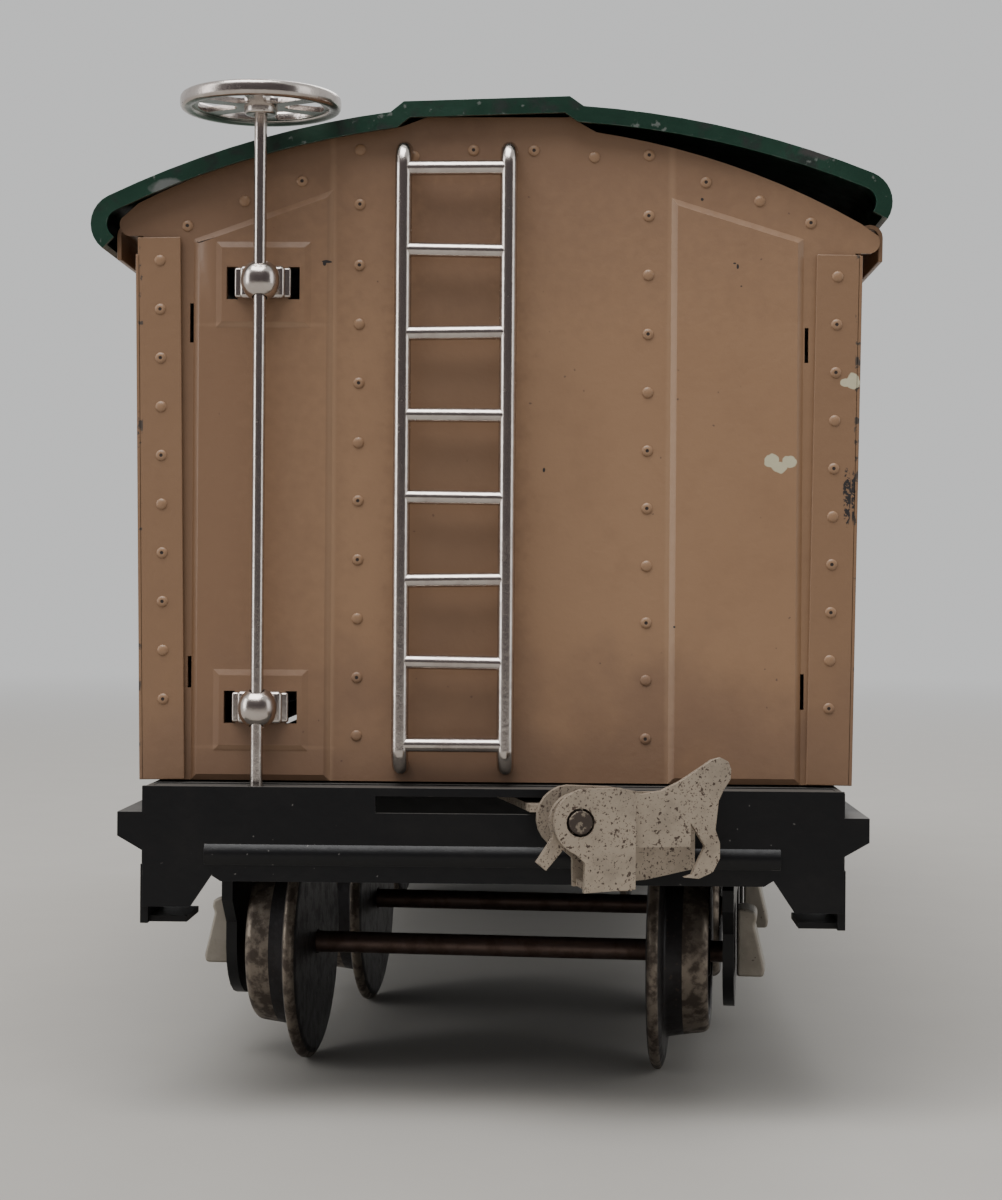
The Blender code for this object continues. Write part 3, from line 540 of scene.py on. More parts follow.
# %% Nickel, freckled nickel, wheel metal and steel
nickel = Finish("nickel_plate", (0.56, 0.51, 0.47), 0.2, 1.0)
nickel.spread(mottle, (0.36, 0.30, 0.28), 0.6, roughness=0.32, Scale=260.0, Low=0.42, High=0.72)
nickel.spread(pits, (0.10, 0.07, 0.06), 0.7, roughness=0.55, Scale=900.0, Size=0.16,
              Patch_Scale=90.0, Patch=0.54)
nickel.texture(1400.0, 0.1)

freckled = Finish("freckled_nickel", (0.38, 0.315, 0.245), 0.4, 0.5)
freckled.spread(mottle, (0.24, 0.20, 0.155), 0.7, roughness=0.55, Scale=240.0, Low=0.4, High=0.7)
freckled.spread(mottle, (0.04, 0.021, 0.013), 0.95, roughness=0.85, metallic=0.1, Scale=1300.0,
                Low=0.60, High=0.63)
freckled.spread(mottle, (0.04, 0.021, 0.013), 0.9, roughness=0.85, metallic=0.1, Scale=3000.0,
                Low=0.60, High=0.64)
freckled.spread(pits, (0.045, 0.022, 0.014), 0.9, roughness=0.8, metallic=0.2, Scale=2200.0,
                Size=0.36, Patch_Scale=300.0, Patch=0.52)
freckled.texture(1600.0, 0.35)

rusted = Finish("rusted_rivet", (0.05, 0.036, 0.028), 0.7, 0.4)
rusted.spread(mottle, (0.22, 0.18, 0.135), 0.9, roughness=0.5, Scale=1400.0, Low=0.55, High=0.62)

box_nickel = Finish("journal_nickel", (0.29, 0.262, 0.22), 0.5, 0.55)
box_nickel.spread(mottle, (0.21, 0.185, 0.15), 0.7, roughness=0.6, Scale=200.0, Low=0.4, High=0.7)
box_nickel.spread(pits, (0.06, 0.035, 0.025), 0.7, roughness=0.8, Scale=1300.0, Size=0.2,
                  Patch_Scale=200.0, Patch=0.55)
box_nickel.texture(1200.0, 0.3)

wheel_metal = Finish("wheel_metal", (0.024, 0.022, 0.023), 0.42, 0.6)
wheel_metal.spread(mottle, (0.014, 0.011, 0.011), 0.7, roughness=0.6, Scale=400.0, Low=0.42,
                   High=0.66)
wheel_metal.spread(pits, (0.07, 0.045, 0.03), 0.6, roughness=0.7, metallic=0.4, Scale=1100.0,
                   Size=0.25, Patch_Scale=140.0, Patch=0.5)
wheel_metal.texture(900.0, 0.35)

tread_metal = Finish("tread_metal", (0.21, 0.175, 0.14), 0.42, 0.75)
tread_metal.spread(mottle, (0.05, 0.036, 0.028), 0.9, roughness=0.6, metallic=0.6, Scale=480.0,
                   Low=0.40, High=0.60)
tread_metal.texture(1100.0, 0.35)

steel = Finish("dark_steel", (0.13, 0.09, 0.075), 0.4, 0.8)
steel.spread(mottle, (0.085, 0.052, 0.04), 0.75, roughness=0.55, Scale=300.0, Low=0.45, High=0.62)
steel.texture(1200.0, 0.3)

# %% [markdown]
# ## Working copies
#
# Most of the frame's solids already have the right outline, but sheet that has been cut and bent
# never has knife edges. A copy is taken, its loose triangles are merged back into flat faces, and
# a narrow bevel rolls every edge.

# %% Helpers that select, copy, soften and hand over a piece
EDGE = 0.16 * MM
SMOOTH = math.radians(32)


def only(obj):
    """Makes one object the only selected one, and the active one."""
    bpy.ops.object.select_all(action="DESELECT")
    obj.select_set(True)
    bpy.context.view_layer.objects.active = obj
    return obj


def new_object(name, data):
    """An object for a mesh or a curve, put into the scene."""
    made = bpy.data.objects.new(name, data)
    bpy.context.scene.collection.objects.link(made)
    return made


def edit_all(obj):
    """Opens an object in edit mode with everything selected."""
    only(obj)
    bpy.ops.object.mode_set(mode="EDIT")
    bpy.ops.mesh.select_all(action="SELECT")


def painted(obj, *finishes):
    """Gives an object these finishes as its material slots, and no others."""
    obj.data.materials.clear()
    for finish in finishes:
        obj.data.materials.append(finish.material)


def pick(obj, wanted, kind="FACE"):
    """Selects the faces, or edges, that pass a test on their middle and normal; in edit mode."""
    bpy.ops.object.mode_set(mode="OBJECT")
    mesh = obj.data
    for item in (*mesh.vertices, *mesh.edges, *mesh.polygons):
        item.select = False
    if kind == "FACE":
        for face in mesh.polygons:
            face.select = wanted(face.center, face.normal)
    else:
        for edge in mesh.edges:
            ends = [mesh.vertices[i].co for i in edge.vertices]
            edge.select = wanted(*ends)
    bpy.ops.object.mode_set(mode="EDIT")
    bpy.ops.mesh.select_mode(type=kind)


def cad_copy(node, name):
    """A copy of a node of the frame, merged, with its flat areas made single faces."""
    made = new_object(name, frame["nodes"][node].data.copy())
    painted(made)
    edit_all(made)
    bpy.ops.mesh.remove_doubles(threshold=2e-6)
    bpy.ops.mesh.dissolve_limited(angle_limit=math.radians(0.6))
    bpy.ops.object.mode_set(mode="OBJECT")
    return made


def bevel(obj, width=EDGE, segments=2, angle=28.0, slot=-1):
    """Rolls the edges sharper than an angle, on a material slot of their own if one is given."""
    only(obj)
    modifier = obj.modifiers.new("rolled_edges", "BEVEL")
    modifier.width = width
    modifier.segments = segments
    modifier.limit_method = "ANGLE"
    modifier.angle_limit = math.radians(angle)
    modifier.use_clamp_overlap = True
    modifier.material = slot
    bpy.ops.object.modifier_apply(modifier=modifier.name)
    return obj


def rim_finished_edges(obj, width, segments, angle, finish, rim):
    """Rolls the edges and gives them a rim finish: worn metal, and on the roof also a painted
    highlight.
    """
    painted(obj, finish, rim)
    return bevel(obj, width, segments, angle, 1)


def boolean(obj, tool, operation="DIFFERENCE"):
    """Cuts or joins with another object, which is used up."""
    only(obj)
    modifier = obj.modifiers.new("boolean", "BOOLEAN")
    modifier.operation = operation
    modifier.solver = "EXACT"
    modifier.object = tool
    bpy.ops.object.modifier_apply(modifier=modifier.name)
    bpy.data.objects.remove(tool)
    return obj


def hand_over(obj, body, slot, finish, *replaced):
    """Shades a finished piece, bakes its place into its mesh and hangs it on its body."""
    only(obj)
    bpy.ops.object.transform_apply(location=True, rotation=True, scale=True)
    if finish is not None:
        painted(obj, finish)
    bpy.ops.object.shade_smooth_by_angle(angle=SMOOTH)
    # Rolled edges are narrow: weighing by area keeps the flats beside them looking flat.
    modifier = obj.modifiers.new("flat_flats", "WEIGHTED_NORMAL")
    modifier.keep_sharp = True
    bpy.ops.object.modifier_apply(modifier=modifier.name)
    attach(obj, body)
    if replaced:
        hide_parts(*replaced)
    return obj


def joined(first, others):
    """Makes several objects one."""
    only(first)
    for other in others:
        other.select_set(True)
    bpy.ops.object.join()
    return first


def turned_half(obj, name):
    """A second one for the other end: a copy with its own mesh, turned half round the car."""
    made = new_object(name, obj.data.copy())
    made.data.transform(Matrix.Rotation(math.pi, 4, "Z"))
    return made


def box(low, high):
    """A box between two corners given in millimetres."""
    middle = [(a + b) / 2 * MM for a, b in zip(low, high)]
    bpy.ops.object.select_all(action="DESELECT")
    bpy.ops.mesh.primitive_cube_add(size=1.0, location=middle,
                                    scale=[abs(b - a) * MM for a, b in zip(low, high)])
    made = bpy.context.object
    bpy.ops.object.transform_apply(location=True, rotation=True, scale=True)
    return made


# %% [markdown]
# ## Rivets
#
# The rivets of a tinplate car are pressed from behind: low domes, all alike. One is made from a
# flattened sphere, half sunk in the sheet, and copied along rows. A row is joined into its panel,
# so that a panel stays one piece of metal.

# %% One rivet, copied to many places
RIVET_RADIUS, RIVET_HEIGHT = 0.76 * MM, 0.29 * MM


def rivet_head(radius, height, pitted):
    """A low dome; a pitted one has its middle pressed in, on a material slot of its own."""
    bpy.ops.object.select_all(action="DESELECT")
    bpy.ops.mesh.primitive_uv_sphere_add(segments=14, ring_count=10, radius=radius)
    head = bpy.context.object
    painted(head, rivet_enamel, rivet_pit)
    edit_all(head)
    bpy.ops.transform.resize(value=(1, 1, height / radius))
    bpy.ops.object.mode_set(mode="OBJECT")
    if pitted:
        for face in head.data.polygons:
            if face.center.z > 0.9 * height:
                face.material_index = 1
        for vertex in head.data.vertices:
            if vertex.co.z > 0.99 * height:
                vertex.co.z -= 0.6 * height
    return head


def rivets(name, places, facing, radius=RIVET_RADIUS, height=RIVET_HEIGHT):
    """Rivet heads at places, given in metres on the sheet; facing is the sheet's outer normal."""
    heads = [rivet_head(radius, height, pitted) for pitted in (False, True)]
    aim = Vector(facing).to_track_quat("Z", "Y").to_matrix().to_4x4()
    copies = []
    for i, place in enumerate(places):
        each = new_object(name, heads[i % 5 in (1, 2, 4)].data.copy())
        each.data.transform(Matrix.Translation(place) @ aim)
        copies.append(each)
    for head in heads:
        bpy.data.objects.remove(head)
    row = joined(copies[0], copies[1:])
    row.name = name
    return row


def riveted(obj, rows, finish):
    """Joins rivet rows into their panel."""
    painted(obj, finish)
    return joined(obj, rows)


# %% [markdown]
# ## End walls
#
# Each end wall is one pressing. Its two outer thirds are raised fields with a sloping top, and
# two small raised pads stiffen it where the brake rod's clips pass through. The wall is cut along
# the fields' outlines, the fields are inset, and the inset faces are pushed out by a hair.

# %% The front end wall
FACE_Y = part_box("front_end_panel")[0].y
FIELD_RAISE, PAD_RAISE = 0.55 * MM, 0.26 * MM
FIELD_SLOPE, PAD_SLOPE = 0.8 * MM, 0.8 * MM
STAFF_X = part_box("front_brake_rod")[0].x + 0.8 * MM
FIELDS = {
    # inner x, outer x, top z at the inner edge, top z at the outer edge
    "left": (-21.8, -40.3, 121.6, 115.0),
    "right": (22.9, 40.3, 120.6, 115.2),
}
PADS = ((103.2, 114.6), (47.2, 58.0))
PAD_HALF = 6.3 * MM


def slope(points):
    """The line through two points of a field's top, as a plane to bisect with."""
    (x0, z0), (x1, z1) = points
    return (x0 * MM, 0, z0 * MM), Vector((z1 - z0, 0, x0 - x1)).normalized()


def divide(plane_point, plane_normal):
    """Cuts the mesh in edit mode along a plane, without parting it."""
    bpy.ops.mesh.select_all(action="SELECT")
    bpy.ops.mesh.bisect(plane_co=plane_point, plane_no=plane_normal)


def raised(obj, wanted, thickness, depth):
    """Insets the chosen front faces as one region and pushes them out of the wall."""
    pick(obj, lambda middle, normal: normal.y < -0.9 and wanted(middle))
    bpy.ops.mesh.inset(thickness=thickness, depth=0.0, use_boundary=False)
    bpy.ops.transform.translate(value=(0, -depth, 0))


def end_wall():
    """The pressed wall: first every outline is cut into it, then fields and pads are raised."""
    wall = cad_copy("front_end_panel", "front_end_wall")
    bpy.ops.object.mode_set(mode="EDIT")
    for inner, outer, inner_top, outer_top in FIELDS.values():
        divide((inner * MM, 0, 0), (1, 0, 0))
        divide((outer * MM, 0, 0), (1, 0, 0))
        divide(*slope(((inner, inner_top), (outer, outer_top))))
    for x in (STAFF_X - PAD_HALF, STAFF_X + PAD_HALF):
        divide((x, 0, 0), (1, 0, 0))
    for low, high in PADS:
        divide((0, 0, low * MM), (0, 0, 1))
        divide((0, 0, high * MM), (0, 0, 1))
    for inner, outer, inner_top, outer_top in FIELDS.values():
        def inside(middle, inner=inner, outer=outer, inner_top=inner_top, outer_top=outer_top):
            along = (middle.x / MM - inner) / (outer - inner)
            return 0 < along < 1 and middle.z / MM < inner_top + (outer_top - inner_top) * along
        raised(wall, inside, FIELD_SLOPE, FIELD_RAISE)
    for low, high in PADS:
        def on_pad(middle, low=low, high=high):
            return abs(middle.x - STAFF_X) < PAD_HALF and low < middle.z / MM < high
        raised(wall, on_pad, PAD_SLOPE, PAD_RAISE)
    bpy.ops.object.mode_set(mode="OBJECT")
    return wall


front_wall = end_wall()
print("front wall faces:", len(front_wall.data.polygons))

# %% [markdown]
# The clips' tabs go through slots in the wall, and four narrower slits take the tabs of the side
# sheets. They are cut right through, so that the dark inside of the car shows in them.

# %% Slots, rivets, and the second wall for the other end
SLOTS = [(STAFF_X / MM + x, z - 2.15, z + 2.15) for z in (109.1, 53.0) for x in (-4.1, 4.1)]
SLITS = ((-40.55, 101.3, 106.5), (-40.55, 55.5, 59.7), (40.75, 98.9, 103.5), (40.45, 53.2, 57.9))
ROWS = {
    -18.3: (126.9, 119.65, 111.6, 103.8, 96.0, 88.1, 80.4, 72.6, 64.8, 57.0, 49.3),
    19.9: (126.2, 118.2, 110.4, 102.6, 94.9, 87.2, 79.6, 72.0, 64.5, 56.9, 49.2),
}
ARCH_ROW = (-41.2, -33.6, -26.0, -11.2, -3.3, 4.7, 12.7, 27.4, 34.5, 41.2)
ROOT_Y = FACE_Y - 0.02 * MM


def arch_height(x):
    """How high the rivet row under the arch runs, in millimetres."""
    drop = 0.033 * x if x < 0 else -0.0195 * x
    return 27.0 + math.sqrt(100 ** 2 - x ** 2) + drop


def slotted(wall):
    """Cuts the clips' slots and the tabs' slits through the wall."""
    for x, low, high in SLOTS:
        wall = boolean(wall, box((x - 0.75, -151.0, low), (x + 0.75, -148.0, high)))
    for x, low, high in SLITS:
        wall = boolean(wall, box((x - 0.25, -151.0, low), (x + 0.25, -148.0, high)))
    return wall


bevel(front_wall, 0.22 * MM, 3, 18)
front_wall = slotted(front_wall)
rivet_places = [(x * MM, ROOT_Y, z * MM) for x, row in ROWS.items() for z in row]
rivet_places += [(x * MM, ROOT_Y, arch_height(x) * MM) for x in ARCH_ROW]
wall_rivets = rivets("end_wall_rivets", rivet_places, (0, -1, 0))
riveted(front_wall, [wall_rivets], end_enamel)
rear_wall = turned_half(front_wall, "rear_end_wall")
for wall, end in ((front_wall, "front"), (rear_wall, "rear")):
    hand_over(wall, "car_body", "body_enamel", None, end + "_end_panel")
print("end wall rivets:", len(rivet_places))

# %% [markdown]
# ## Sides
#
# Each side is one sheet folded round both corners, so the flanges that the frame keeps as separate
# strips become part of it here. Pressed ribs divide it into panels, as the boards of a real car
# would, and a doorway is cut in its middle.

# %% The side sheets, built at the right and turned for the left
LEAN = math.radians(0.8)
FOOT_X, FOOT_Z = 47.0 * MM, 43.3 * MM
leaning = (Matrix.Translation((FOOT_X, 0, FOOT_Z)) @ Matrix.Rotation(LEAN, 4, "Y")
           @ Matrix.Translation((-FOOT_X, 0, -FOOT_Z)))


def upright(obj):
    """Stands a leaning side straight, so that it can be worked on square to the axes."""
    obj.data.transform(leaning.inverted())
    return obj


def leant(obj):
    """Leans an upright piece out again."""
    obj.data.transform(leaning)
    return obj


def flange(name, end):
    """A folded edge, its outer corner rounded and its slot for the wall's tab left open."""
    strip = upright(cad_copy(f"right_{end}_corner_flange", name))
    only(strip)
    bpy.ops.object.mode_set(mode="EDIT")
    pick(strip, lambda middle, normal: normal.x > 0.9)
    bpy.ops.transform.translate(value=(0.62 * MM, 0, 0))
    bpy.ops.object.mode_set(mode="OBJECT")
    return bevel(strip, 0.13 * MM, 4, 30)


def ribs(places, low, high, half=0.7, raise_by=0.25):
    """Pressed ribs up a side: a low roof-shaped ridge with soft edges, joined to the sheet."""
    made = []
    for y in places:
        rib = box((46.9, y - half, low), (47.0 + raise_by, y + half, high))
        only(rib)
        bpy.ops.object.mode_set(mode="EDIT")
        pick(rib, lambda middle, normal: normal.x > 0.9)
        bpy.ops.transform.resize(value=(1, 0.35, 0.985))
        bpy.ops.object.mode_set(mode="OBJECT")
        made.append(bevel(rib, 0.12 * MM, 2, 15))
    return made


RIB_PLACES = [-143.0, -121.0, -99.0, -77.0, 77.0, 99.0, 121.0, 143.0]
STRIP_ROWS = {"front": (43.75, [110.1 - 6.3 * i for i in range(10)]),
              "rear": (43.75, [112.0 - 6.45 * i for i in range(10)])}


def side_sheet():
    """A side with its flanges, ribs and rivets, made upright and leant over at the end."""
    sheet = upright(cad_copy("right_side_panel", "right_side_sheet"))
    bevel(sheet, 0.12 * MM, 2, 35)
    extras = [flange("strip", "front"), flange("strip", "rear")]
    extras += ribs(RIB_PLACES, 46.0, 108.5)
    places = []
    for y in RIB_PLACES:
        places += [(47.0 * MM, (y + dy) * MM, z * MM) for dy in (-2.2, 2.2)
                   for z in (48.0, 58.0, 68.0, 78.0, 88.0, 98.0, 107.0)]
    heads = [rivets("side_rivets", places, (1, 0, 0), 0.7 * MM, 0.25 * MM)]
    for end, sign in (("front", -1), ("rear", 1)):
        x, heights = STRIP_ROWS[end]
        spots = [(x * MM, sign * 150.38 * MM, z * MM) for z in heights]
        heads.append(rivets("strip_rivets", spots, (0, sign, 0)))
    for piece in extras:
        painted(piece, side_enamel)
    riveted(sheet, heads, side_enamel)
    return leant(joined(sheet, extras))


right_sheet = side_sheet()
left_sheet = turned_half(right_sheet, "left_side_sheet")
for sheet, side in ((right_sheet, "right"), (left_sheet, "left")):
    hand_over(sheet, "car_body", "body_enamel", None, side + "_side_panel",
              side + "_front_corner_flange", side + "_rear_corner_flange")
print("side sheet faces:", len(right_sheet.data.polygons))

# %% [markdown]
# ## Doors
#
# A door is a flat leaf with a shallow raised frame, so it stays stiff while it slides. Its pull is
# a bent wire: a poly curve with a round bevel gives wire its roundness for almost no faces.

# %% Door leaves and their pulls
DOOR_FACE = 48.3
PULL = ((48.15, 74.0), (49.3, 74.2), (50.25, 75.0), (50.5, 76.4), (50.5, 83.6), (50.25, 85.0),
        (49.3, 85.8), (48.15, 86.0))


def wire(name, points, radius, resolution=4):
    """A round bar bent through points given in millimetres, turned into a mesh."""
    curve = bpy.data.curves.new(name, "CURVE")
    curve.dimensions = "3D"
    curve.bevel_depth = radius * MM
    curve.bevel_resolution = resolution
    curve.use_fill_caps = True
    spline = curve.splines.new("POLY")
    spline.points.add(len(points) - 1)
    for point, place in zip(spline.points, points):
        point.co = (*[value * MM for value in place], 1)
    only(new_object(name, curve))
    bpy.ops.object.convert(target="MESH")
    return bpy.context.object


def door_leaf(way):
    """The leaf on the right side that opens towards way, 1 or -1, along the car."""
    near, far = sorted((way * 0.2, way * 33.0))
    leaf = box((47.5, near, 45.4), (DOOR_FACE, far, 113.6))
    only(leaf)
    bpy.ops.object.mode_set(mode="EDIT")
    for z in (49.0, 78.5, 109.2):
        divide((0, 0, z * MM), (0, 0, 1))
    for low, high in ((49.0, 78.5), (78.5, 109.2)):
        pick(leaf, lambda middle, normal, low=low, high=high:
             normal.x > 0.9 and low < middle.z / MM < high)
        bpy.ops.mesh.inset(thickness=2.0 * MM, depth=0.0)
        bpy.ops.mesh.inset(thickness=0.6 * MM, depth=-0.22 * MM)
    bpy.ops.object.mode_set(mode="OBJECT")
    return bevel(leaf, 0.1 * MM, 2, 15)


for way, toward in ((-1, "front"), (1, "rear")):
    leaf = door_leaf(way)
    pull = wire("pull", [(x, way * 6.0, z) for x, z in PULL], 0.6)
    for piece, kind, slot, finish in ((leaf, "leaf", "body_enamel", panel_enamel),
                                      (pull, "pull", "nickel_plate", nickel)):
        leant(piece)
        piece.name = f"right_{toward}_door_{kind}_sheet"
        other_end = "rear" if toward == "front" else "front"
        twin = turned_half(piece, f"left_{other_end}_door_{kind}_sheet")
        for each, side, end in ((piece, "right", toward), (twin, "left", other_end)):
            node = f"{side}_{end}_door"
            hand_over(each, node + "_leaf", slot, finish, node)
print("door faces:", len(leaf.data.polygons))

# %% [markdown]
# ## Roof
#
# The roof is one pressing: a raised running board along the middle, a long shallow arch, and eaves
# rolled under. Its ends are folded down into a narrow lip. It only needs soft edges and an uneven
# surface, because this is the sheet that takes every knock.

# %% The roof
roof = cad_copy("roof", "roof_sheet")
# The roof's rolled edges take a paler green as a painted highlight, with wear over it.
rim_finished_edges(roof, 0.28 * MM, 3, 30, roof_enamel, roof_rim_sheen_and_wear)
edit_all(roof)
for y in range(-140, 141, 14):
    divide((0, y * MM, 0), (0, 1, 0))
bpy.ops.object.mode_set(mode="OBJECT")
hand_over(roof, "car_body", "roof_enamel", None, "roof")
print("roof faces:", len(roof.data.polygons))

# %% [markdown]
# ## Ladder
#
# The ladder is wire work: two posts with their ends bent back into the wall, and eight rungs
# soldered between them. A fillet of solder would round each joint, so the rungs run a little way
# into the posts and the joints are left soft.

# %% The ladder for each end
POSTS, POST_R, RUNG_R = (-12.3, 1.5), 1.12, 0.95
LADDER_Y, LADDER_WALL_Y = -153.0, -149.4
LOW, HIGH, BEND = 45.4, 126.6, 2.4
RUNG_FIRST, RUNG_STEP = 48.4, 10.78


def ladder_post(x):
    """A post from the wall, round a bend, up, and round a bend back to the wall."""
    turns = [math.pi / 2 * i / 8 for i in range(9)]
    quarter = [(BEND * (1 - math.sin(turn)), BEND * (1 - math.cos(turn))) for turn in turns]
    points = [(x, LADDER_WALL_Y, LOW)]
    points += [(x, LADDER_Y + out, LOW + up) for out, up in quarter]
    points += [(x, LADDER_Y + out, HIGH - down) for down, out in quarter]
    points.append((x, LADDER_WALL_Y, HIGH))
    return wire("post", points, POST_R, 5)


posts = [ladder_post(x) for x in POSTS]
rungs = []
for step in range(8):
    z = RUNG_FIRST + RUNG_STEP * step
    tilt = 0.12 * math.sin(step * 2.3)
    ends = [(POSTS[0] - 0.3, LADDER_Y, z + tilt), (POSTS[1] + 0.3, LADDER_Y, z - tilt)]
    rungs.append(wire("rung", ends, RUNG_R, 5))
front_ladder = joined(posts[0], posts[1:] + rungs)
front_ladder.name = "front_ladder_wire"
rear_ladder = turned_half(front_ladder, "rear_ladder_wire")
for ladder, end in ((front_ladder, "front"), (rear_ladder, "rear")):
    hand_over(ladder, "car_body", "nickel_plate", nickel, end + "_ladder")
print("ladder faces:", len(front_ladder.data.polygons))

# %% [markdown]
# ## Brake wheel and rod
#
# The hand wheel is pressed from one disc: the rim is rolled into a hoop, and the web between the
# spokes is punched out. The hoop is spun from a round section; the web is drawn as a flat spoked
# outline and given its thickness; the hub is a small turned cone.

# %% The brake wheel
RIM_FOOT, RIM_TOP = 131.1, 133.1
RIM_OUT, RIM_IN = 10.5, 8.75
STAFF_Y = -153.6
WEB_LOW, WEB_HIGH = 131.6, 132.3


def spun(name, section, steps=72, axis=(0, 0, 1)):
    """Turns a closed section, given as (radius, height) in millimetres, round the Z axis."""
    mesh = bpy.data.meshes.new(name)
    points = [(r * MM, 0.0, z * MM) for r, z in section]
    count = len(points)
    mesh.from_pydata(points, [(i, (i + 1) % count) for i in range(count)], [])
    made = new_object(name, mesh)
    edit_all(made)
    bpy.ops.mesh.spin(steps=steps, angle=2 * math.pi, center=(0, 0, 0), axis=axis)
    bpy.ops.mesh.select_all(action="SELECT")
    bpy.ops.mesh.remove_doubles(threshold=1e-6)
    bpy.ops.mesh.normals_make_consistent(inside=False)
    bpy.ops.object.mode_set(mode="OBJECT")
    return made


def rounded(points, radius, steps=3):
    """A closed outline with each corner cut back and rounded by arcs of short edges."""
    result = []
    count = len(points)
    for i in range(count):
        before, at, after = (Vector(points[(i + k) % count]) for k in (-1, 0, 1))
        cut = min(radius, (before - at).length * 0.45, (after - at).length * 0.45)
        start = at + (before - at).normalized() * cut
        end = at + (after - at).normalized() * cut
        for k in range(steps + 1):
            t = k / steps
            result.append(tuple(start * (1 - t) ** 2 + at * (2 * t * (1 - t)) + end * t ** 2))
    return result


rim_section = rounded([(RIM_IN, RIM_FOOT), (RIM_OUT, RIM_FOOT), (RIM_OUT, RIM_TOP),
                       (RIM_IN, RIM_TOP)], 0.75, 4)
rim = spun("rim", rim_section)
web_section = [(1.2, WEB_LOW - 0.2), (3.0, WEB_LOW), (8.95, WEB_LOW), (8.95, WEB_HIGH),
               (3.0, WEB_HIGH), (1.2, WEB_HIGH + 0.3)]
web = spun("web", web_section)
for spoke in range(6):
    middle = math.radians(60 * spoke)
    half = math.radians(30 - 8.5)
    outer = [(8.2 * math.cos(middle + half * t / 4), 8.2 * math.sin(middle + half * t / 4))
             for t in range(-4, 5)]
    inner = [(3.3 * math.cos(middle + half * t), 3.3 * math.sin(middle + half * t))
             for t in (0.6, -0.6)]
    outline = rounded(outer + inner, 0.5, 2)
    mesh = bpy.data.meshes.new("window")
    mesh.from_pydata([(x * MM, y * MM, (WEB_LOW - 1) * MM) for x, y in outline], [],
                     [list(range(len(outline)))])
    punch = new_object("window", mesh)
    edit_all(punch)
    bpy.ops.mesh.extrude_region_move(TRANSFORM_OT_translate={"value": (0, 0, 3 * MM)})
    bpy.ops.mesh.select_all(action="SELECT")
    bpy.ops.mesh.normals_make_consistent(inside=False)
    bpy.ops.object.mode_set(mode="OBJECT")
    web = boolean(web, punch)
bevel(web, 0.14 * MM, 2, 40)
HUB = [(0.9, 130.6), (2.1, 130.6), (2.3, 132.2), (1.7, 133.0), (0.9, 133.3)]
hub = spun("hub", rounded(HUB, 0.3), 48)
cap = spun("cap", [(0.0, 132.6), (0.85, 132.6), (0.85, 133.2), (0.55, 133.45), (0.0, 133.5)], 32)
front_wheel = joined(rim, [web, hub, cap])
front_wheel.name = "front_brake_hand_wheel"
front_wheel.data.transform(Matrix.Translation((STAFF_X, STAFF_Y * MM, 0)))

# %% [markdown]
# The rod is plain bar. Each clip is a strap whose ends go into the wall's slots, drawn out in the
# middle into a round boss, and bored so that the rod can turn in it.

# %% The brake rod, and the domed clips that hold it to the wall
ROD = [(0.0, 41.4), (0.84, 41.4), (0.84, 132.0), (0.0, 132.0)]
rod = spun("front_brake_staff", rounded(ROD, 0.1, 2), 32)
rod.data.transform(Matrix.Translation((STAFF_X, STAFF_Y * MM, 0)))


def clip(z):
    """A strap with its ends in the wall's slots, drawn out over the rod into a rounded boss."""
    x = STAFF_X / MM
    strap = box((x - 3.75, -150.9, z - 2.0), (x + 3.75, -149.6, z + 2.0))
    bevel(strap, 0.35 * MM, 3, 30)
    boss = box((x - 2.55, -155.3, z - 2.6), (x + 2.55, -150.3, z + 2.6))
    only(boss)
    modifier = boss.modifiers.new("round", "BEVEL")
    modifier.width = 2.35 * MM
    modifier.segments = 8
    bpy.ops.object.modifier_apply(modifier=modifier.name)
    shoulder = box((x - 3.0, -151.6, z - 2.2), (x + 3.0, -150.2, z + 2.2))
    bevel(shoulder, 0.6 * MM, 4, 30)
    made = joined(strap, [shoulder, boss])
    bore = spun("bore", [(0.0, z - 4), (1.0, z - 4), (1.0, z + 4), (0.0, z + 4)], 24)
    bore.data.transform(Matrix.Translation((STAFF_X, STAFF_Y * MM, 0)))
    return boolean(made, bore)


for height, label in ((53.0, "lower"), (109.1, "upper")):
    front_clip = clip(height)
    front_clip.name = f"front_{label}_domed_clip"
    rear_clip = turned_half(front_clip, f"rear_{label}_domed_clip")
    for each, end in ((front_clip, "front"), (rear_clip, "rear")):
        hand_over(each, "car_body", "nickel_plate", nickel, f"{end}_{label}_rod_clip")

for piece, label in ((front_wheel, "wheel"), (rod, "rod")):
    twin = turned_half(piece, piece.name.replace("front", "rear"))
    for each, end in ((piece, "front"), (twin, "rear")):
        hand_over(each, end + "_brake_staff", "nickel_plate", nickel, f"{end}_brake_{label}")
print("brake wheel faces:", len(front_wheel.data.polygons))

# %% [markdown]
# ## Frame, rails and trucks
#
# These pieces already have their full outline, folded from thick black sheet. Stove enamel fills
# the inside of a fold and thins over its outside, so the edges are rolled a little more than on
# the body, and the material lets bare metal through where they rub.

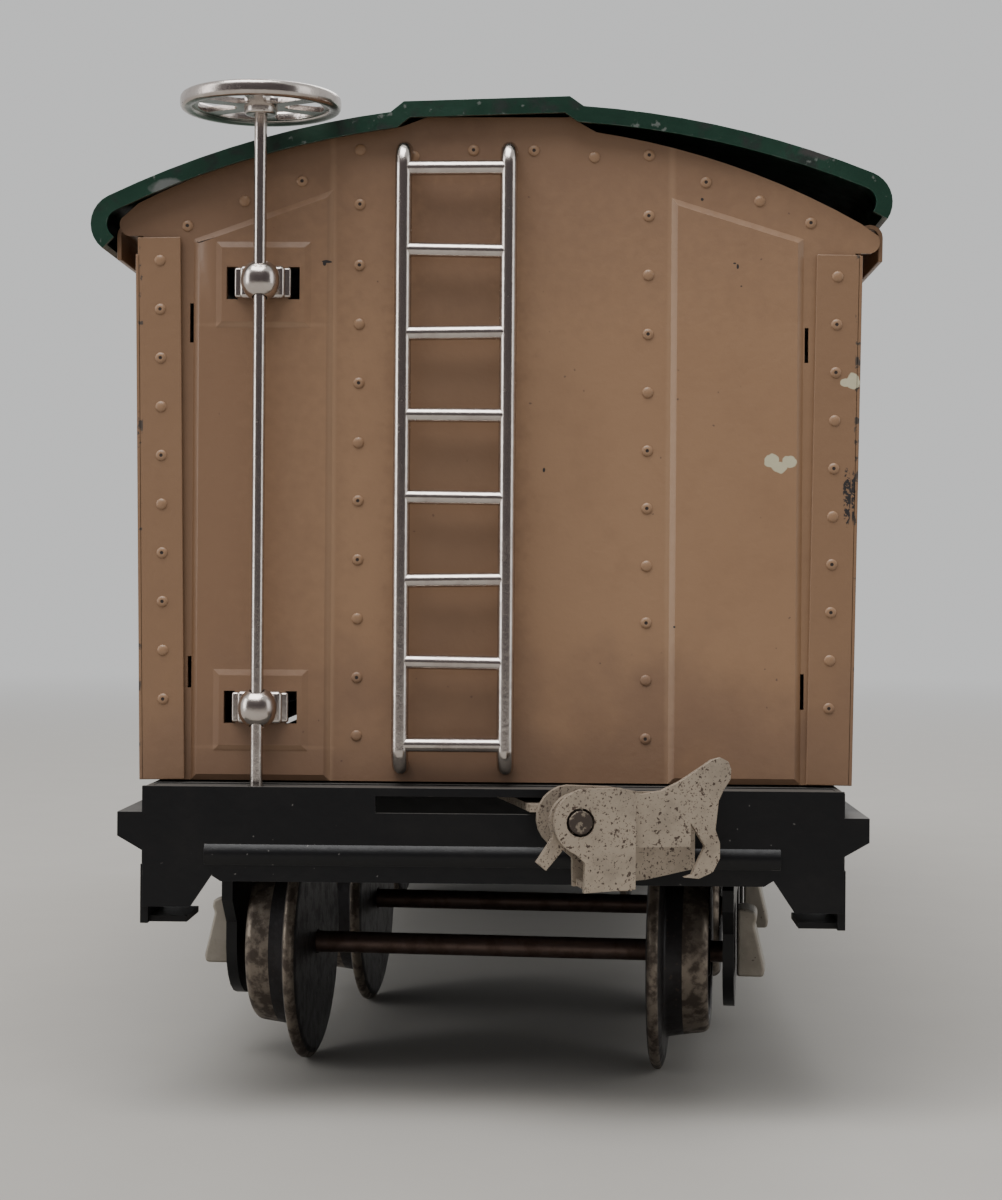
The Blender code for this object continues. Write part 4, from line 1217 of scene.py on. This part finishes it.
# %% Frame pieces that only need softer edges
SOFTENED = [("underframe", "car_body", "frame_enamel", frame_enamel, 0.28),
            ("right_lower_door_rail", "car_body", "body_enamel", panel_enamel, 0.12),
            ("left_lower_door_rail", "car_body", "body_enamel", panel_enamel, 0.12)]
for end in ("front", "rear"):
    SOFTENED += [(end + "_truck_frame", end + "_truck", "frame_enamel", frame_enamel, 0.3),
                 (end + "_kingpin", "car_body", "dark_steel", steel, 0.15),
                 (end + "_drawbar_rivet", "car_body", "dark_steel", steel, 0.15)]
    for place in ("outer", "inner"):
        for side in ("right", "left"):
            SOFTENED.append((f"{end}_{place}_{side}_journal_box", end + "_truck", "worn_nickel",
                             box_nickel, 0.5))
for node, body, slot, finish, width in SOFTENED:
    copy = cad_copy(node, node + "_sheet")
    if finish is frame_enamel:
        rim_finished_edges(copy, width * MM, 3, 25, frame_enamel, frame_edge)
        finish = None
    else:
        bevel(copy, width * MM, 3, 25)
    hand_over(copy, body, slot, finish, node)
print("softened:", len(SOFTENED))

# %% [markdown]
# ## Wheels and axles
#
# A wheel is a turned casting, pressed on a plain axle. Its section is drawn once, with every corner
# rounded, and spun about the axle. The tread and the flange's edge, which ride on the rail, get
# the worn metal and the rest stays dark.

# %% Wheels, spun and set on their axles
WHEEL = [(1.62, 24.6), (15.7, 24.6), (16.9, 25.2), (16.9, 26.2), (15.4, 26.75), (12.3, 26.9),
         (11.9, 29.3), (11.5, 32.4), (10.9, 33.1), (9.3, 33.1), (8.2, 30.5), (4.4, 30.3),
         (3.5, 33.1), (1.62, 33.1)]
AXLE = [(0.0, -36.6), (1.3, -36.6), (1.55, -36.2), (1.55, 36.2), (1.3, 36.6), (0.0, 36.6)]
JOINTS = {joint["child"]: joint for joint in frame["record"]["behaviour"]["joints"]}


def on_axle(body, hand):
    """The matrix that lays a piece turned about Z along a wheelset's axle, towards one hand."""
    joint = JOINTS[body]
    along = Vector(joint["axis"]) * hand
    return (Matrix.Translation(joint["pos_m"])
            @ along.to_track_quat("Z", "Y").to_matrix().to_4x4())


wheel_shape = spun("wheel_shape", rounded(WHEEL, 0.5, 3), 64)
painted(wheel_shape, wheel_metal, tread_metal)
for face in wheel_shape.data.polygons:
    middle = face.center / MM
    radius = math.hypot(middle.x, middle.y)
    worn = radius > 16.2 or (radius > 10.8 and middle.z > 29.5)
    face.material_index = 1 if worn else 0
axle_shape = spun("axle_shape", AXLE, 32)
for end in ("front", "rear"):
    for place in ("outer", "inner"):
        body = f"{end}_{place}_wheelset"
        for side, hand in (("right", 1), ("left", -1)):
            wheel = new_object(f"{body}_{side}_wheel", wheel_shape.data.copy())
            wheel.data.transform(on_axle(body, hand))
            hand_over(wheel, body, "wheel_metal", None, f"{end}_{place}_{side}_wheel")
        axle = new_object(body + "_axle_bar", axle_shape.data.copy())
        axle.data.transform(on_axle(body, 1))
        hand_over(axle, body, "dark_steel", steel, f"{end}_{place}_axle")
bpy.data.objects.remove(wheel_shape)
bpy.data.objects.remove(axle_shape)
print("wheelsets:", 4)

# %% [markdown]
# ## Couplers
#
# The drawbar is a strip folded into two cheeks, and the latch swings between them on a rivet. They
# are blanked from sheet, so their faces are flat and their edges only a little round.

# %% Drawbar, latch, spring and rivet at each end
for end in ("front", "rear"):
    for node, body, slot, finish, width in (
            ("drawbar", "coupler", "worn_nickel", freckled, 0.22),
            ("latch", "latch", "worn_nickel", freckled, 0.22),
            ("latch_rivet", "coupler", "dark_steel", rusted, 0.25)):
        copy = cad_copy(f"{end}_{node}", f"{end}_{node}_plate")
        bevel(copy, width * MM, 3, 30)
        hand_over(copy, f"{end}_{body}", slot, finish, f"{end}_{node}")
    coil = cad_copy(f"{end}_latch_spring", f"{end}_latch_coil")
    hand_over(coil, f"{end}_coupler", "dark_steel", steel, f"{end}_latch_spring")
print("couplers:", 2)

# %% [markdown]
# ## Sizes
#
# The finish must not change the car's size, so both boxes are written down side by side.

# %% Sizes, and the end
size = {"cad": [list(corner) for corner in cad_box],
        "visual": [list(corner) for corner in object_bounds()]}
print("size:", size)
